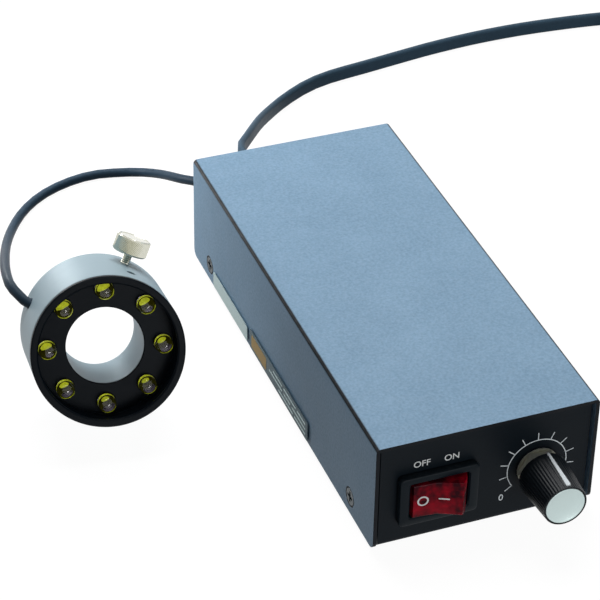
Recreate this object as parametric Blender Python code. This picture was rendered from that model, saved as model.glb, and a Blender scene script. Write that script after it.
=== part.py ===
"""Builds a microscope ring light: an LED ring head, its dimmer box, and the cords of both.

Lengths are in metres. The box has a frame of its own: X to the right of the front panel, Y towards
the rear panel and Z up from the underside of the base. An empty carries that frame, and the last
step moves it, so that the box and the head stand on Z = 0, centred on the origin. The head lies on
the bench to the left of the box, on the lower edge of its rear face, with its lamps facing forwards
and up. Its own frame has its origin in the middle of the front rim and Z out of the lamps.
"""

import math
from functools import partial

import bmesh
import bpy
from mathutils import Matrix, Vector

# Clearances
SEAT_GAP = 0.0003
CUT_OVERRUN = 0.001

# Case: a bent base with both end panels, and a bent cover with both sides
CASE_WIDTH = 0.0600
CASE_LENGTH = 0.1377
CASE_HEIGHT = 0.0321
SHEET = 0.0010
BEND_RADIUS = 0.0012
PANEL_RECESS = 0.0010
PANEL_SIDE_GAP = 0.0007
FLANGE_HEIGHT = 0.0100
FLANGE_RELIEF = 0.0015
FOOT_HEIGHT = 0.0020
FOOT_RADIUS = 0.0040
FOOT_EDGE = 0.0004
FOOT_STEM_RADIUS = 0.0015
FOOT_BARB_RADIUS = 0.0022
FOOT_BARB_HEIGHT = 0.0011
FOOT_SIDE_INSET = 0.0100
FOOT_END_INSET = 0.0160

# Countersunk cover screws, two in each side
COVER_SCREW_RADIUS = 0.0013
COVER_SCREW_HEAD_RADIUS = 0.0025
COVER_SCREW_LENGTH = 0.0046
COVER_SCREW_HEIGHT = 0.0051
COVER_SCREW_FRONT_INSET = 0.0156
COVER_SCREW_REAR_INSET = 0.0140
RECESS_SLOT = 0.0007
RECESS_SPAN = 0.0028
RECESS_DEPTH = 0.0008

# Rating label, low on the left side
LABEL_LENGTH = 0.0748
LABEL_HEIGHT = 0.0060
LABEL_THICKNESS = 0.0002
LABEL_REAR_INSET = 0.0184
LABEL_BOTTOM = 0.0010

# Rocker switch
SWITCH_X = -0.0131
SWITCH_Z = 0.01405
BEZEL_WIDTH = 0.0212
BEZEL_HEIGHT = 0.01495
BEZEL_DEPTH = 0.0020
BEZEL_CORNER = 0.0012
SWITCH_BODY_WIDTH = 0.0190
SWITCH_BODY_HEIGHT = 0.0126
SWITCH_BODY_DEPTH = 0.0142
SWITCH_OPENING_WIDTH = 0.0157
SWITCH_OPENING_HEIGHT = 0.0107
SWITCH_CAVITY_DEPTH = 0.0100
ROCKER_TRAVEL_DEG = 30.0
ROCKER_SLOPE_DEG = 10.0
ROCKER_END_GAP = 0.00035
ROCKER_SIDE_GAP = 0.0003
ROCKER_PROUD = 0.0008
ROCKER_FACE_DISTANCE = 0.0030
ROCKER_DEPTH = 0.0048
ROCKER_FINGER_WIDTH = 0.0030
ROCKER_FINGER_LENGTH = 0.0018
TRUNNION_RADIUS = 0.0008
TRUNNION_LENGTH = 0.0006
TERMINAL_WIDTH = 0.0048
TERMINAL_THICKNESS = 0.0008
TERMINAL_LENGTH = 0.0080
TERMINAL_PITCH = 0.0064

# Dimmer: a potentiometer behind the panel and the knob on its shaft
DIAL_X = 0.0143
DIAL_Z = 0.0145
POT_CAN_RADIUS = 0.0080
POT_CAN_DEPTH = 0.0080
POT_BUSH_RADIUS = 0.0035
POT_BUSH_LENGTH = 0.0060
POT_SHAFT_RADIUS = 0.0030
POT_SHAFT_LENGTH = 0.0150
POT_SHAFT_SEAT = 0.0030
WASHER_RADIUS = 0.0056
WASHER_THICKNESS = 0.0005
NUT_ACROSS_FLATS = 0.0100
NUT_THICKNESS = 0.0018
KNOB_BASE_RADIUS = 0.00657
KNOB_FRONT_RADIUS = 0.00578
KNOB_FRONT = 0.0168
KNOB_BASE_CLEARANCE = 0.0004
KNOB_SKIRT = 0.0016
KNOB_FLUTES = 20
KNOB_FLUTE_POINTS = 3
KNOB_FLUTE_DEPTH = 0.0003
KNOB_EDGE = 0.0002
KNOB_WALL = 0.0010
CAP_RADIUS = 0.0051
CAP_THICKNESS = 0.0007

# Circuit board and what stands on it
BOARD_SIDE_CLEARANCE = 0.0032
BOARD_FRONT_CLEARANCE = 0.0027
BOARD_THICKNESS = 0.0016
BOARD_REAR_INSET = 0.0045
BOARD_HOLE_INSET = 0.0035
SPACER_HEIGHT = 0.0050
SPACER_RADIUS = 0.0030
BOARD_SCREW_RADIUS = 0.0012
BOARD_SCREW_HEAD_RADIUS = 0.0025
BOARD_SCREW_HEAD_HEIGHT = 0.0016
BOARD_SCREW_REACH = 0.0036
CORE_WIDTH = 0.0320
CORE_HEIGHT = 0.0190
CORE_STACK = 0.0140
CORE_LEG = 0.0050
CORE_MIDDLE_LEG = 0.0100
WINDING_OVERHANG = 0.0050
TRANSFORMER_REAR_INSET = 0.0150
CAPACITOR_RADIUS = 0.0050
CAPACITOR_HEIGHT = 0.0160
CAPACITOR_EDGE = 0.0008
REGULATOR_WIDTH = 0.0102
REGULATOR_HEIGHT = 0.0160
REGULATOR_THICKNESS = 0.0044
REGULATOR_TAB_THICKNESS = 0.0013
REGULATOR_BODY_SHARE = 0.58
HEAT_SINK_WIDTH = 0.0180
HEAT_SINK_HEIGHT = 0.0190
HEAT_SINK_BASE = 0.0020
HEAT_SINK_FIN = 0.0012
HEAT_SINK_FIN_LENGTH = 0.0070
HEAT_SINK_FINS = 5
CONNECTOR_WIDTH = 0.0080
CONNECTOR_DEPTH = 0.0060
CONNECTOR_HEIGHT = 0.0070
CONNECTOR_WALL = 0.0009
CAPACITOR_REAR_INSET = 0.0460
SINK_SPACING = 0.0180

# Cords and where they leave the rear panel
MAINS_EXIT_X = -0.0068
MAINS_EXIT_Z = 0.0147
MAINS_BOOT_LENGTH = 0.0200
MAINS_BOOT_RADIUS = 0.0038
MAINS_BOOT_TIP_RADIUS = 0.0029
MAINS_BOOT_FLANGE_RADIUS = 0.0048
MAINS_BOOT_FLANGE = 0.0020
HEAD_EXIT_X = -0.0193
HEAD_EXIT_Z = 0.0147
GROMMET_RADIUS = 0.0032
GROMMET_NECK_RADIUS = 0.0024
GROMMET_LENGTH = 0.0025
GROMMET_TAIL = 0.0015
MAINS_CORD_THICKNESS = 0.0022
MAINS_CORD_WIDTH = 0.0044
HEAD_CORD_RADIUS = 0.0013
CORD_POINT_SPACING = 0.0060
HEAD_CORD_POINT_SPACING = 0.0048

# Lamp head
HEAD_RADIUS = 0.0201
HEAD_LENGTH = 0.02675
HEAD_RING_WIDTH = 0.00985
HEAD_AZIMUTH_DEG = -8.3
HEAD_ELEVATION_DEG = 21.3
HEAD_X = -0.0771
HEAD_Y = 0.0664
HOUSING_WALL = 0.0010
HOUSING_TUBE_WALL = 0.0012
HOUSING_REAR_WALL = 0.0024
HOUSING_EDGE = 0.0004
HOLDER_FLANGE = 0.0015
HOLDER_WALL = 0.0007
HOLDER_RECESS = 0.0070
HOLDER_DISC = 0.0030
LED_COUNT = 8
LED_EDGE_INSET = 0.00295
LED_PHASE_DEG = 3.7
LED_RADIUS = 0.00235
LED_FLANGE_RADIUS = 0.0027
LED_FLANGE_THICKNESS = 0.0010
LED_LENGTH = 0.0087
LED_PROUD = 0.0044
LED_LEG = 0.0005
LED_LEG_PITCH = 0.00254
LED_BOARD_THICKNESS = 0.0012
LED_BOARD_FROM_REAR = 0.0006

# Grub screw that holds the lamp disc
GRUB_RADIUS = 0.00095
GRUB_SINK = 0.0005
GRUB_LENGTH = 0.0026

# Thumb screw that clamps the head on its microscope, with the soft tip that it pushes
CLAMP_DEPTH = 0.0200
CLAMP_ANGLE_DEG = 64.8
CLAMP_THREAD_RADIUS = 0.0015
CLAMP_SHANK_RADIUS = 0.0012
CLAMP_BOSS_RADIUS = 0.0021
CLAMP_NECK = 0.00275
CLAMP_KNOB_RADIUS = 0.00465
CLAMP_KNOB_HEIGHT = 0.0045
CLAMP_KNOB_EDGE = 0.0004
CLAMP_KNOB_RIBS = 30
CLAMP_RIB_DEPTH = 0.0002
CLAMP_TIP_LENGTH = 0.0030
CLAMP_TIP_SINK = 0.0002

# Cable entry in the side of the head
HEAD_CORD_DEPTH = 0.0203
HEAD_CORD_ANGLE_DEG = 150.0
HEAD_CORD_SLANT_DEG = 37.0
HEAD_CORD_INSIDE = 0.0030
HEAD_CORD_STRAIGHT = 0.0020

# Mains cord that is put away: a flat coil of two layers, its tie and its plug
COIL_X = 0.1720
COIL_Y = 0.1890
COIL_MIDDLE_RADIUS = 0.0220
COIL_PITCH = 0.0030
COIL_LAYER_PITCH = 0.0049
COIL_LAYERS = 2
COIL_TURNS_PER_LAYER = 5.125
COIL_POINTS_PER_TURN = 24
COIL_START_DEG = 90.0
COIL_TAIL = 0.0300
COIL_TAIL_RUN_SHARES = (1 / 4, 3 / 8, 1 / 2, 5 / 8, 3 / 4, 1.0)
COIL_TAIL_DROP_SHARES = (0.0, 1 / 6, 1 / 2, 5 / 6, 1.0, 1.0)
TIE_THICKNESS = 0.0005
TIE_WIDTH = 0.0040
TIE_CLEARANCE = 0.0003
TIE_ANGLE_DEG = 215.0
PLUG_WIDTH = 0.0240
PLUG_THICKNESS = 0.0150
PLUG_LENGTH = 0.0220
PLUG_SHOULDER_WIDTH = 0.0145
PLUG_SHOULDER_THICKNESS = 0.0120
PLUG_BOOT_LENGTH = 0.0150
PLUG_BOOT_RADIUS = 0.0030
PLUG_EDGE = 0.0012
PIN_PITCH = 0.0127
PIN_WIDTH = 0.0063
PIN_THICKNESS = 0.0015
PIN_LENGTH = 0.0175
PIN_HOLE_RADIUS = 0.0015
PIN_HOLE_FROM_TIP = 0.0045

# The route points of both cords, in the frame of the box, after the straight run out of each exit
MAINS_ROUTE = (
    (-0.0063, 0.1635, 0.0142),
    (-0.0047, 0.1682, 0.0128),
    (-0.0024, 0.1716, 0.0120),
    (0.0028, 0.1798, 0.0096),
    (0.0095, 0.1907, 0.0058),
    (0.0164, 0.2002, 0.0024),
    (0.0227, 0.2071, 0.0006),
    (0.0312, 0.2128, 0.0003),
    (0.0393, 0.2163, 0.0003),
    (0.0469, 0.2180, 0.0003),
    (0.0543, 0.2191, 0.0003),
    (0.0695, 0.2216, 0.0003),
    (0.0811, 0.2234, 0.0003),
    (0.0986, 0.2250, 0.0003),
    (0.1175, 0.2251, 0.0003),
    (0.1363, 0.2234, 0.0005),
    (0.1522, 0.2206, 0.0008),
)
HEAD_ROUTE = (
    (-0.0213, 0.1524, 0.0130),
    (-0.0255, 0.1619, 0.0098),
    (-0.0278, 0.1739, 0.0046),
    (-0.0308, 0.1820, 0.0010),
    (-0.0343, 0.1857, -0.0004),
    (-0.0387, 0.1872, -0.0006),
    (-0.0432, 0.1881, -0.0006),
    (-0.0478, 0.1881, -0.0006),
    (-0.0529, 0.1871, -0.0006),
    (-0.0582, 0.1852, -0.0006),
    (-0.0638, 0.1821, -0.0006),
    (-0.0698, 0.1767, -0.0004),
    (-0.0739, 0.1709, 0.0003),
    (-0.0774, 0.1640, 0.0019),
    (-0.0809, 0.1549, 0.0050),
    (-0.0843, 0.1437, 0.0098),
    (-0.0876, 0.1311, 0.0158),
    (-0.0909, 0.1171, 0.0222),
    (-0.0930, 0.1057, 0.0268),
    (-0.0938, 0.0985, 0.0293),
)

# Sides of round pieces, by how large they are
LARGE_SIDES = 48
MEDIUM_SIDES = 24
SMALL_SIDES = 12
SHARP_ANGLE_DEG = 35.0
BEND_STEPS = 4
DOME_STEPS = 4

# Lengths that follow from those above
HALF_WIDTH = CASE_WIDTH / 2
INNER_HALF_WIDTH = HALF_WIDTH - SHEET - SEAT_GAP
PANEL_HALF_WIDTH = HALF_WIDTH - SHEET - PANEL_SIDE_GAP
PANEL_TOP = CASE_HEIGHT - SHEET - SEAT_GAP
BASE_TOP = SHEET
BOARD_UNDERSIDE = BASE_TOP + SPACER_HEIGHT + 2 * SEAT_GAP
BOARD_TOP = BOARD_UNDERSIDE + BOARD_THICKNESS
BOARD_REAR = CASE_LENGTH - PANEL_RECESS - SHEET - BOARD_REAR_INSET
SWITCH_REAR = PANEL_RECESS + SWITCH_BODY_DEPTH + SEAT_GAP + TERMINAL_LENGTH
BOARD_LENGTH = BOARD_REAR - SWITCH_REAR - BOARD_FRONT_CLEARANCE
BOARD_WIDTH = 2 * (INNER_HALF_WIDTH - SHEET - BOARD_SIDE_CLEARANCE)
BOARD_MIDDLE_Y = BOARD_REAR - BOARD_LENGTH / 2
KNOB_BASE = 3 * SEAT_GAP + WASHER_THICKNESS + NUT_THICKNESS + KNOB_BASE_CLEARANCE
HOUSING_FRONT = HOLDER_FLANGE + SEAT_GAP
HEAD_BORE_RADIUS = HEAD_RADIUS - HEAD_RING_WIDTH
HOUSING_INNER_RADIUS = HEAD_RADIUS - HOUSING_WALL
HOLDER_RADIUS = HOUSING_INNER_RADIUS - SEAT_GAP
HOLDER_RECESS_RADIUS = HOLDER_RADIUS - HOLDER_WALL
LED_CIRCLE_RADIUS = HOLDER_RECESS_RADIUS - LED_EDGE_INSET
HOLDER_BACK = HOLDER_RECESS + HOLDER_DISC
TUBE_OUTER_RADIUS = HEAD_BORE_RADIUS + HOUSING_TUBE_WALL
REAR_WALL_FRONT = HEAD_LENGTH - HOUSING_REAR_WALL
LED_BOARD_BACK = REAR_WALL_FRONT - LED_BOARD_FROM_REAR
LED_BOARD_FRONT = LED_BOARD_BACK - LED_BOARD_THICKNESS
CLAMP_ANGLE = math.radians(CLAMP_ANGLE_DEG)
GRUB_DEPTH = HOLDER_RECESS + GRUB_RADIUS + 4 / 3 * SEAT_GAP
COIL_OUTER_RADIUS = COIL_MIDDLE_RADIUS + COIL_TURNS_PER_LAYER * COIL_PITCH / 2
COIL_INNER_RADIUS = COIL_MIDDLE_RADIUS - COIL_TURNS_PER_LAYER * COIL_PITCH / 2
CORD_FLAT = (MAINS_CORD_WIDTH - MAINS_CORD_THICKNESS) / 2
COIL_BASE = MAINS_CORD_WIDTH / 2 + TIE_THICKNESS + TIE_CLEARANCE - FOOT_HEIGHT

# Directions out of the box, for frames whose own Z points there and whose Y points up
OUT_OF_FRONT = (math.radians(90.0), 0.0, 0.0)
OUT_OF_REAR = (math.radians(90.0), 0.0, math.radians(180.0))
OUT_OF_LEFT = (math.radians(90.0), 0.0, math.radians(-90.0))
OUT_OF_RIGHT = (math.radians(90.0), 0.0, math.radians(90.0))
UPRIGHT = (0.0, 0.0, 0.0)


# Materials


def material(name, colour, roughness, metallic=0.0):
    """Returns the named Principled material, and makes it the first time."""
    found = bpy.data.materials.get(name)
    if found:
        return found
    made = bpy.data.materials.new(name)
    made.use_nodes = True
    shader = made.node_tree.nodes["Principled BSDF"]
    shader.inputs["Base Color"].default_value = (*colour, 1.0)
    shader.inputs["Roughness"].default_value = roughness
    shader.inputs["Metallic"].default_value = metallic
    return made


PAINT = partial(material, "grey_blue_paint", (0.24, 0.36, 0.47), 0.45)
BLACK_PAINT = partial(material, "black_paint", (0.012, 0.015, 0.020), 0.50)
BLACK_PLASTIC = partial(material, "black_plastic", (0.015, 0.016, 0.018), 0.30)
SOFT_PLASTIC = partial(material, "soft_black_plastic", (0.020, 0.024, 0.030), 0.40)
RUBBER = partial(material, "black_rubber", (0.015, 0.015, 0.016), 0.80)
RED_PLASTIC = partial(material, "red_translucent_plastic", (0.45, 0.01, 0.02), 0.20)
ANODISED = partial(material, "grey_anodised_aluminium", (0.38, 0.44, 0.47), 0.35, 0.8)
BLACK_ANODISED = partial(material, "black_anodised_aluminium", (0.014, 0.018, 0.026), 0.40, 0.3)
NICKEL = partial(material, "nickel_plate", (0.72, 0.71, 0.66), 0.18, 1.0)
STEEL = partial(material, "zinc_plated_steel", (0.50, 0.51, 0.52), 0.35, 1.0)
ALUMINIUM = partial(material, "satin_aluminium", (0.70, 0.73, 0.71), 0.30, 1.0)
BRASS = partial(material, "brass", (0.75, 0.60, 0.33), 0.30, 1.0)
CLEAR_RESIN = partial(material, "clear_resin", (0.80, 0.80, 0.45), 0.08)
LABEL_FOIL = partial(material, "label_foil", (0.45, 0.52, 0.50), 0.45, 0.2)
BOARD_GREEN = partial(material, "board_green", (0.03, 0.20, 0.08), 0.45)
BOARD_WHITE = partial(material, "board_white", (0.75, 0.75, 0.72), 0.50)
NYLON = partial(material, "white_nylon", (0.80, 0.80, 0.76), 0.45)
WINDING_TAPE = partial(material, "yellow_winding_tape", (0.75, 0.55, 0.08), 0.50)
SLEEVE_BLUE = partial(material, "blue_sleeve", (0.03, 0.06, 0.20), 0.35)


# Meshes


def box(size, centre=(0.0, 0.0, 0.0)):
    """Makes a block of the given size about its centre."""
    mesh = bmesh.new()
    scale = Matrix.Diagonal((*size, 1.0))
    bmesh.ops.create_cube(mesh, size=1.0, matrix=Matrix.Translation(centre) @ scale)
    return mesh


def stacked(rings, closed=False):
    """Makes a body from rings of points, each bridged to the next.

    A closed stack joins its last ring to its first. An open one is capped at both ends.
    """
    mesh = bmesh.new()
    loops = [[mesh.verts.new(point) for point in ring] for ring in rings]
    pairs = list(zip(loops, loops[1:], strict=False))
    if closed:
        pairs.append((loops[-1], loops[0]))
    else:
        mesh.faces.new(loops[0])
        mesh.faces.new(loops[-1])
    for lower, upper in pairs:
        for i, corner in enumerate(lower):
            before = i - 1
            mesh.faces.new((lower[before], corner, upper[i], upper[before]))
    bmesh.ops.recalc_face_normals(mesh, faces=mesh.faces)
    return mesh


def circle(radius, height, sides):
    """Returns the points of a level circle about Z."""
    return [
        (
            radius * math.cos(math.tau * i / sides),
            radius * math.sin(math.tau * i / sides),
            height,
        )
        for i in range(sides)
    ]


def turned(profile, sides=MEDIUM_SIDES, closed=False):
    """Makes a turned body from (radius, height) points, from the middle of one end to the other's."""
    return stacked([circle(radius, height, sides) for radius, height in profile], closed)


def rod(radius, low, high, sides=SMALL_SIDES):
    """Makes a round bar along Z."""
    return turned([(radius, low), (radius, high)], sides)


def ring_profile(inner, outer, low, high):
    """Returns the profile of a plain ring, for a closed turned body."""
    return [(inner, low), (outer, low), (outer, high), (inner, high)]


def prism(outline, low, high):
    """Makes a body of one outline in XY, from one height to another."""
    return stacked([[(x, y, z) for x, y in outline] for z in (low, high)])


def rounded_rectangle(width, height, radius, steps=BEND_STEPS):
    """Returns the outline of a rectangle with round corners, about its centre."""
    points = []
    for corner, (side, end) in enumerate(((1, 1), (-1, 1), (-1, -1), (1, -1))):
        centre_x = side * (width / 2 - radius)
        centre_y = end * (height / 2 - radius)
        for step in range(steps + 1):
            angle = math.radians(90.0) * (corner + step / steps)
            points.append((centre_x + radius * math.cos(angle), centre_y + radius * math.sin(angle)))
    return points


def bent_channel(half_width, height, thickness, radius):
    """Returns the outline of a bent channel that opens downwards, standing on Y = 0."""
    inner_radius = max(radius - thickness, radius / (2 * BEND_STEPS))
    points = []
    skins = (
        (half_width, height, radius),
        (half_width - thickness, height - thickness, inner_radius),
    )
    for side, rise, bend in skins:
        run = [(-side, 0.0)]
        for middle, start in ((-side + bend, 180.0), (side - bend, 90.0)):
            for step in range(BEND_STEPS + 1):
                angle = math.radians(start - 90.0 * step / BEND_STEPS)
                run.append((middle + bend * math.cos(angle), rise - bend + bend * math.sin(angle)))
        run.append((side, 0.0))
        points += run if side == half_width else run[::-1]
    return points


# Objects


def frame(name, parent, location=(0.0, 0.0, 0.0), rotation=UPRIGHT):
    """Adds an empty that carries a frame of its own."""
    empty = bpy.data.objects.new(name, None)
    bpy.context.scene.collection.objects.link(empty)
    empty.parent = parent
    empty.location = location
    empty.rotation_euler = rotation
    return empty


def piece(name, mesh, look, parent, location=(0.0, 0.0, 0.0), rotation=UPRIGHT):
    """Adds an object made from a mesh under construction, smooth except at its sharp edges."""
    data = bpy.data.meshes.new(name)
    mesh.to_mesh(data)
    mesh.free()
    data.materials.append(look())
    data.shade_smooth()
    data.set_sharp_from_angle(angle=math.radians(SHARP_ANGLE_DEG))
    made = bpy.data.objects.new(name, data)
    bpy.context.scene.collection.objects.link(made)
    made.parent = parent
    made.location = location
    made.rotation_euler = rotation
    return made


def change(target, operation, mesh, name, parent=None, location=(0.0, 0.0, 0.0), rotation=UPRIGHT):
    """Cuts a guide body out of an object, or joins it on, and leaves the guide as a wire."""
    guide = piece(f"{target.name}_{name}", mesh, RUBBER, parent or target.parent, location, rotation)
    guide.hide_render = True
    guide.display_type = "WIRE"
    step = target.modifiers.new(name, "BOOLEAN")
    step.operation = operation
    step.object = guide
    step.solver = "EXACT"


cut = partial(change, operation="DIFFERENCE")
join = partial(change, operation="UNION")


# Case


def foot_places():
    """Yields the middle of each foot on the underside of the base."""
    side = HALF_WIDTH - FOOT_SIDE_INSET
    for y in (FOOT_END_INSET, CASE_LENGTH - FOOT_END_INSET):
        for x in (-side, side):
            yield x, y


def cover_screw_places():
    """Yields the place and the direction of each cover screw."""
    for x, rotation in ((-HALF_WIDTH, OUT_OF_LEFT), (HALF_WIDTH, OUT_OF_RIGHT)):
        for y in (COVER_SCREW_FRONT_INSET, CASE_LENGTH - COVER_SCREW_REAR_INSET):
            yield (x, y, COVER_SCREW_HEIGHT), rotation


def board_hole_places():
    """Yields the middle of each fixing hole of the circuit board."""
    side = BOARD_WIDTH / 2 - BOARD_HOLE_INSET
    along = BOARD_LENGTH / 2 - BOARD_HOLE_INSET
    for y in (BOARD_MIDDLE_Y - along, BOARD_MIDDLE_Y + along):
        for x in (-side, side):
            yield x, y


def countersink(clearance):
    """Returns the profile of a countersunk screw from its point to its head, with room around it."""
    shank = COVER_SCREW_RADIUS + clearance
    head = COVER_SCREW_HEAD_RADIUS + clearance
    return [(shank, -COVER_SCREW_LENGTH), (shank, shank - head), (head, 0.0)]


def make_cover(box_frame):
    """Makes the top and both sides, bent from one sheet."""
    outline = bent_channel(HALF_WIDTH, CASE_HEIGHT, SHEET, BEND_RADIUS)
    cover = piece("top_cover", prism(outline, -CASE_LENGTH, 0.0), PAINT, box_frame, rotation=OUT_OF_FRONT)
    for number, (place, rotation) in enumerate(cover_screw_places(), start=1):
        profile = [*countersink(SEAT_GAP), (COVER_SCREW_HEAD_RADIUS + SEAT_GAP, CUT_OVERRUN)]
        mesh = turned(profile, SMALL_SIDES)
        cut(cover, mesh=mesh, name=f"screw_hole_{number}", location=place, rotation=rotation)


def make_base(box_frame):
    """Makes the base with both end panels, and the low flanges that take the cover screws."""
    length = CASE_LENGTH - 2 * PANEL_RECESS
    channel = bent_channel(length / 2, PANEL_TOP, SHEET, BEND_RADIUS)
    outline = [(y + CASE_LENGTH / 2, PANEL_TOP - z) for y, z in channel]
    mesh = stacked([[(x, y, z) for y, z in outline] for x in (-PANEL_HALF_WIDTH, PANEL_HALF_WIDTH)])
    base = piece("base_chassis", mesh, BLACK_PAINT, box_frame)
    run = length - 2 * (SHEET + FLANGE_RELIEF)
    for name, side in (("left_flange", -1), ("right_flange", 1)):
        place = (side * (INNER_HALF_WIDTH - SHEET / 2), CASE_LENGTH / 2, FLANGE_HEIGHT / 2)
        join(base, mesh=box((SHEET, run, FLANGE_HEIGHT)), name=name, location=place)
    for number, (place, rotation) in enumerate(cover_screw_places(), start=1):
        mesh = rod(COVER_SCREW_RADIUS + SEAT_GAP, -COVER_SCREW_LENGTH - CUT_OVERRUN, 0.0)
        cut(base, mesh=mesh, name=f"screw_hole_{number}", location=place, rotation=rotation)
    for number, (x, y) in enumerate(foot_places(), start=1):
        mesh = rod(FOOT_STEM_RADIUS + SEAT_GAP, -CUT_OVERRUN, SHEET + CUT_OVERRUN)
        cut(base, mesh=mesh, name=f"foot_hole_{number}", location=(x, y, 0.0))
    through = SHEET + CUT_OVERRUN
    width = SWITCH_BODY_WIDTH + 2 * SEAT_GAP
    height = SWITCH_BODY_HEIGHT + 2 * SEAT_GAP
    window = prism(rounded_rectangle(width, height, BEZEL_CORNER / 2), -through, CUT_OVERRUN)
    place = (SWITCH_X, PANEL_RECESS, SWITCH_Z)
    cut(base, mesh=window, name="switch_window", location=place, rotation=OUT_OF_FRONT)
    hole = rod(POT_BUSH_RADIUS + SEAT_GAP, -through, CUT_OVERRUN, MEDIUM_SIDES)
    place = (DIAL_X, PANEL_RECESS, DIAL_Z)
    cut(base, mesh=hole, name="dimmer_hole", location=place, rotation=OUT_OF_FRONT)
    rear = CASE_LENGTH - PANEL_RECESS
    for name, x, z, radius in (
        ("mains_hole", MAINS_EXIT_X, MAINS_EXIT_Z, MAINS_BOOT_RADIUS),
        ("head_cord_hole", HEAD_EXIT_X, HEAD_EXIT_Z, GROMMET_NECK_RADIUS),
    ):
        hole = rod(radius + SEAT_GAP, -through, CUT_OVERRUN, MEDIUM_SIDES)
        cut(base, mesh=hole, name=name, location=(x, rear, z), rotation=OUT_OF_REAR)


def make_cover_screws(box_frame):
    """Makes the countersunk screws, each with a cross recess."""
    for number, (place, rotation) in enumerate(cover_screw_places(), start=1):
        at = frame(f"cover_screw_axis_{number}", box_frame, place, rotation)
        screw = piece(f"cover_screw_{number}", turned(countersink(0.0), SMALL_SIDES), STEEL, at)
        across = box((RECESS_SPAN, RECESS_SLOT, 2 * RECESS_DEPTH))
        cut(screw, mesh=across, name="slot_across")
        along = box((RECESS_SLOT, RECESS_SPAN, 2 * RECESS_DEPTH))
        cut(screw, mesh=along, name="slot_along")


def make_feet(box_frame):
    """Makes the rubber feet, each pushed through its hole in the base."""
    top = SHEET + SEAT_GAP
    profile = [
        (FOOT_RADIUS - FOOT_EDGE, -FOOT_HEIGHT),
        (FOOT_RADIUS, FOOT_EDGE - FOOT_HEIGHT),
        (FOOT_RADIUS, -SEAT_GAP),
        (FOOT_STEM_RADIUS, -SEAT_GAP),
        (FOOT_STEM_RADIUS, top),
        (FOOT_BARB_RADIUS, top),
        (FOOT_STEM_RADIUS, top + FOOT_BARB_HEIGHT),
    ]
    for number, (x, y) in enumerate(foot_places(), start=1):
        piece(f"foot_{number}", turned(profile, SMALL_SIDES), RUBBER, box_frame, (x, y, 0.0))


def make_label(box_frame):
    """Makes the blank rating label on the left side."""
    middle = CASE_LENGTH - LABEL_REAR_INSET - LABEL_LENGTH / 2
    place = (
        -HALF_WIDTH - SEAT_GAP - LABEL_THICKNESS / 2,
        middle,
        LABEL_BOTTOM + LABEL_HEIGHT / 2,
    )
    piece("rating_label", box((LABEL_THICKNESS, LABEL_LENGTH, LABEL_HEIGHT)), LABEL_FOIL, box_frame, place)


# Rocker switch


def rocker_profile(radius):
    """Returns the rocker's outline in its own XY, seen along its pivot, with Y out of the panel.

    Its two faces make a shallow valley, and its ends are arcs about the pivot, so that they pass the
    walls of the housing at any angle.
    """
    slope = math.radians(ROCKER_SLOPE_DEG)
    corner = math.acos(ROCKER_FACE_DISTANCE / radius) - slope
    bottom = math.asin(ROCKER_DEPTH / radius)
    start = math.radians(90.0) - corner
    angles = [start - (start + bottom) * step / BEND_STEPS for step in range(BEND_STEPS + 1)]
    right = [(radius * math.cos(angle), radius * math.sin(angle)) for angle in angles]
    left = [(-x, y) for x, y in reversed(right)]
    valley = (0.0, ROCKER_FACE_DISTANCE / math.cos(slope))
    half = ROCKER_FINGER_WIDTH / 2
    tip = -ROCKER_DEPTH - ROCKER_FINGER_LENGTH
    finger = [(half, -ROCKER_DEPTH), (half, tip), (-half, tip), (-half, -ROCKER_DEPTH)]
    return [valley, *right, *finger, *left]


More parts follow.
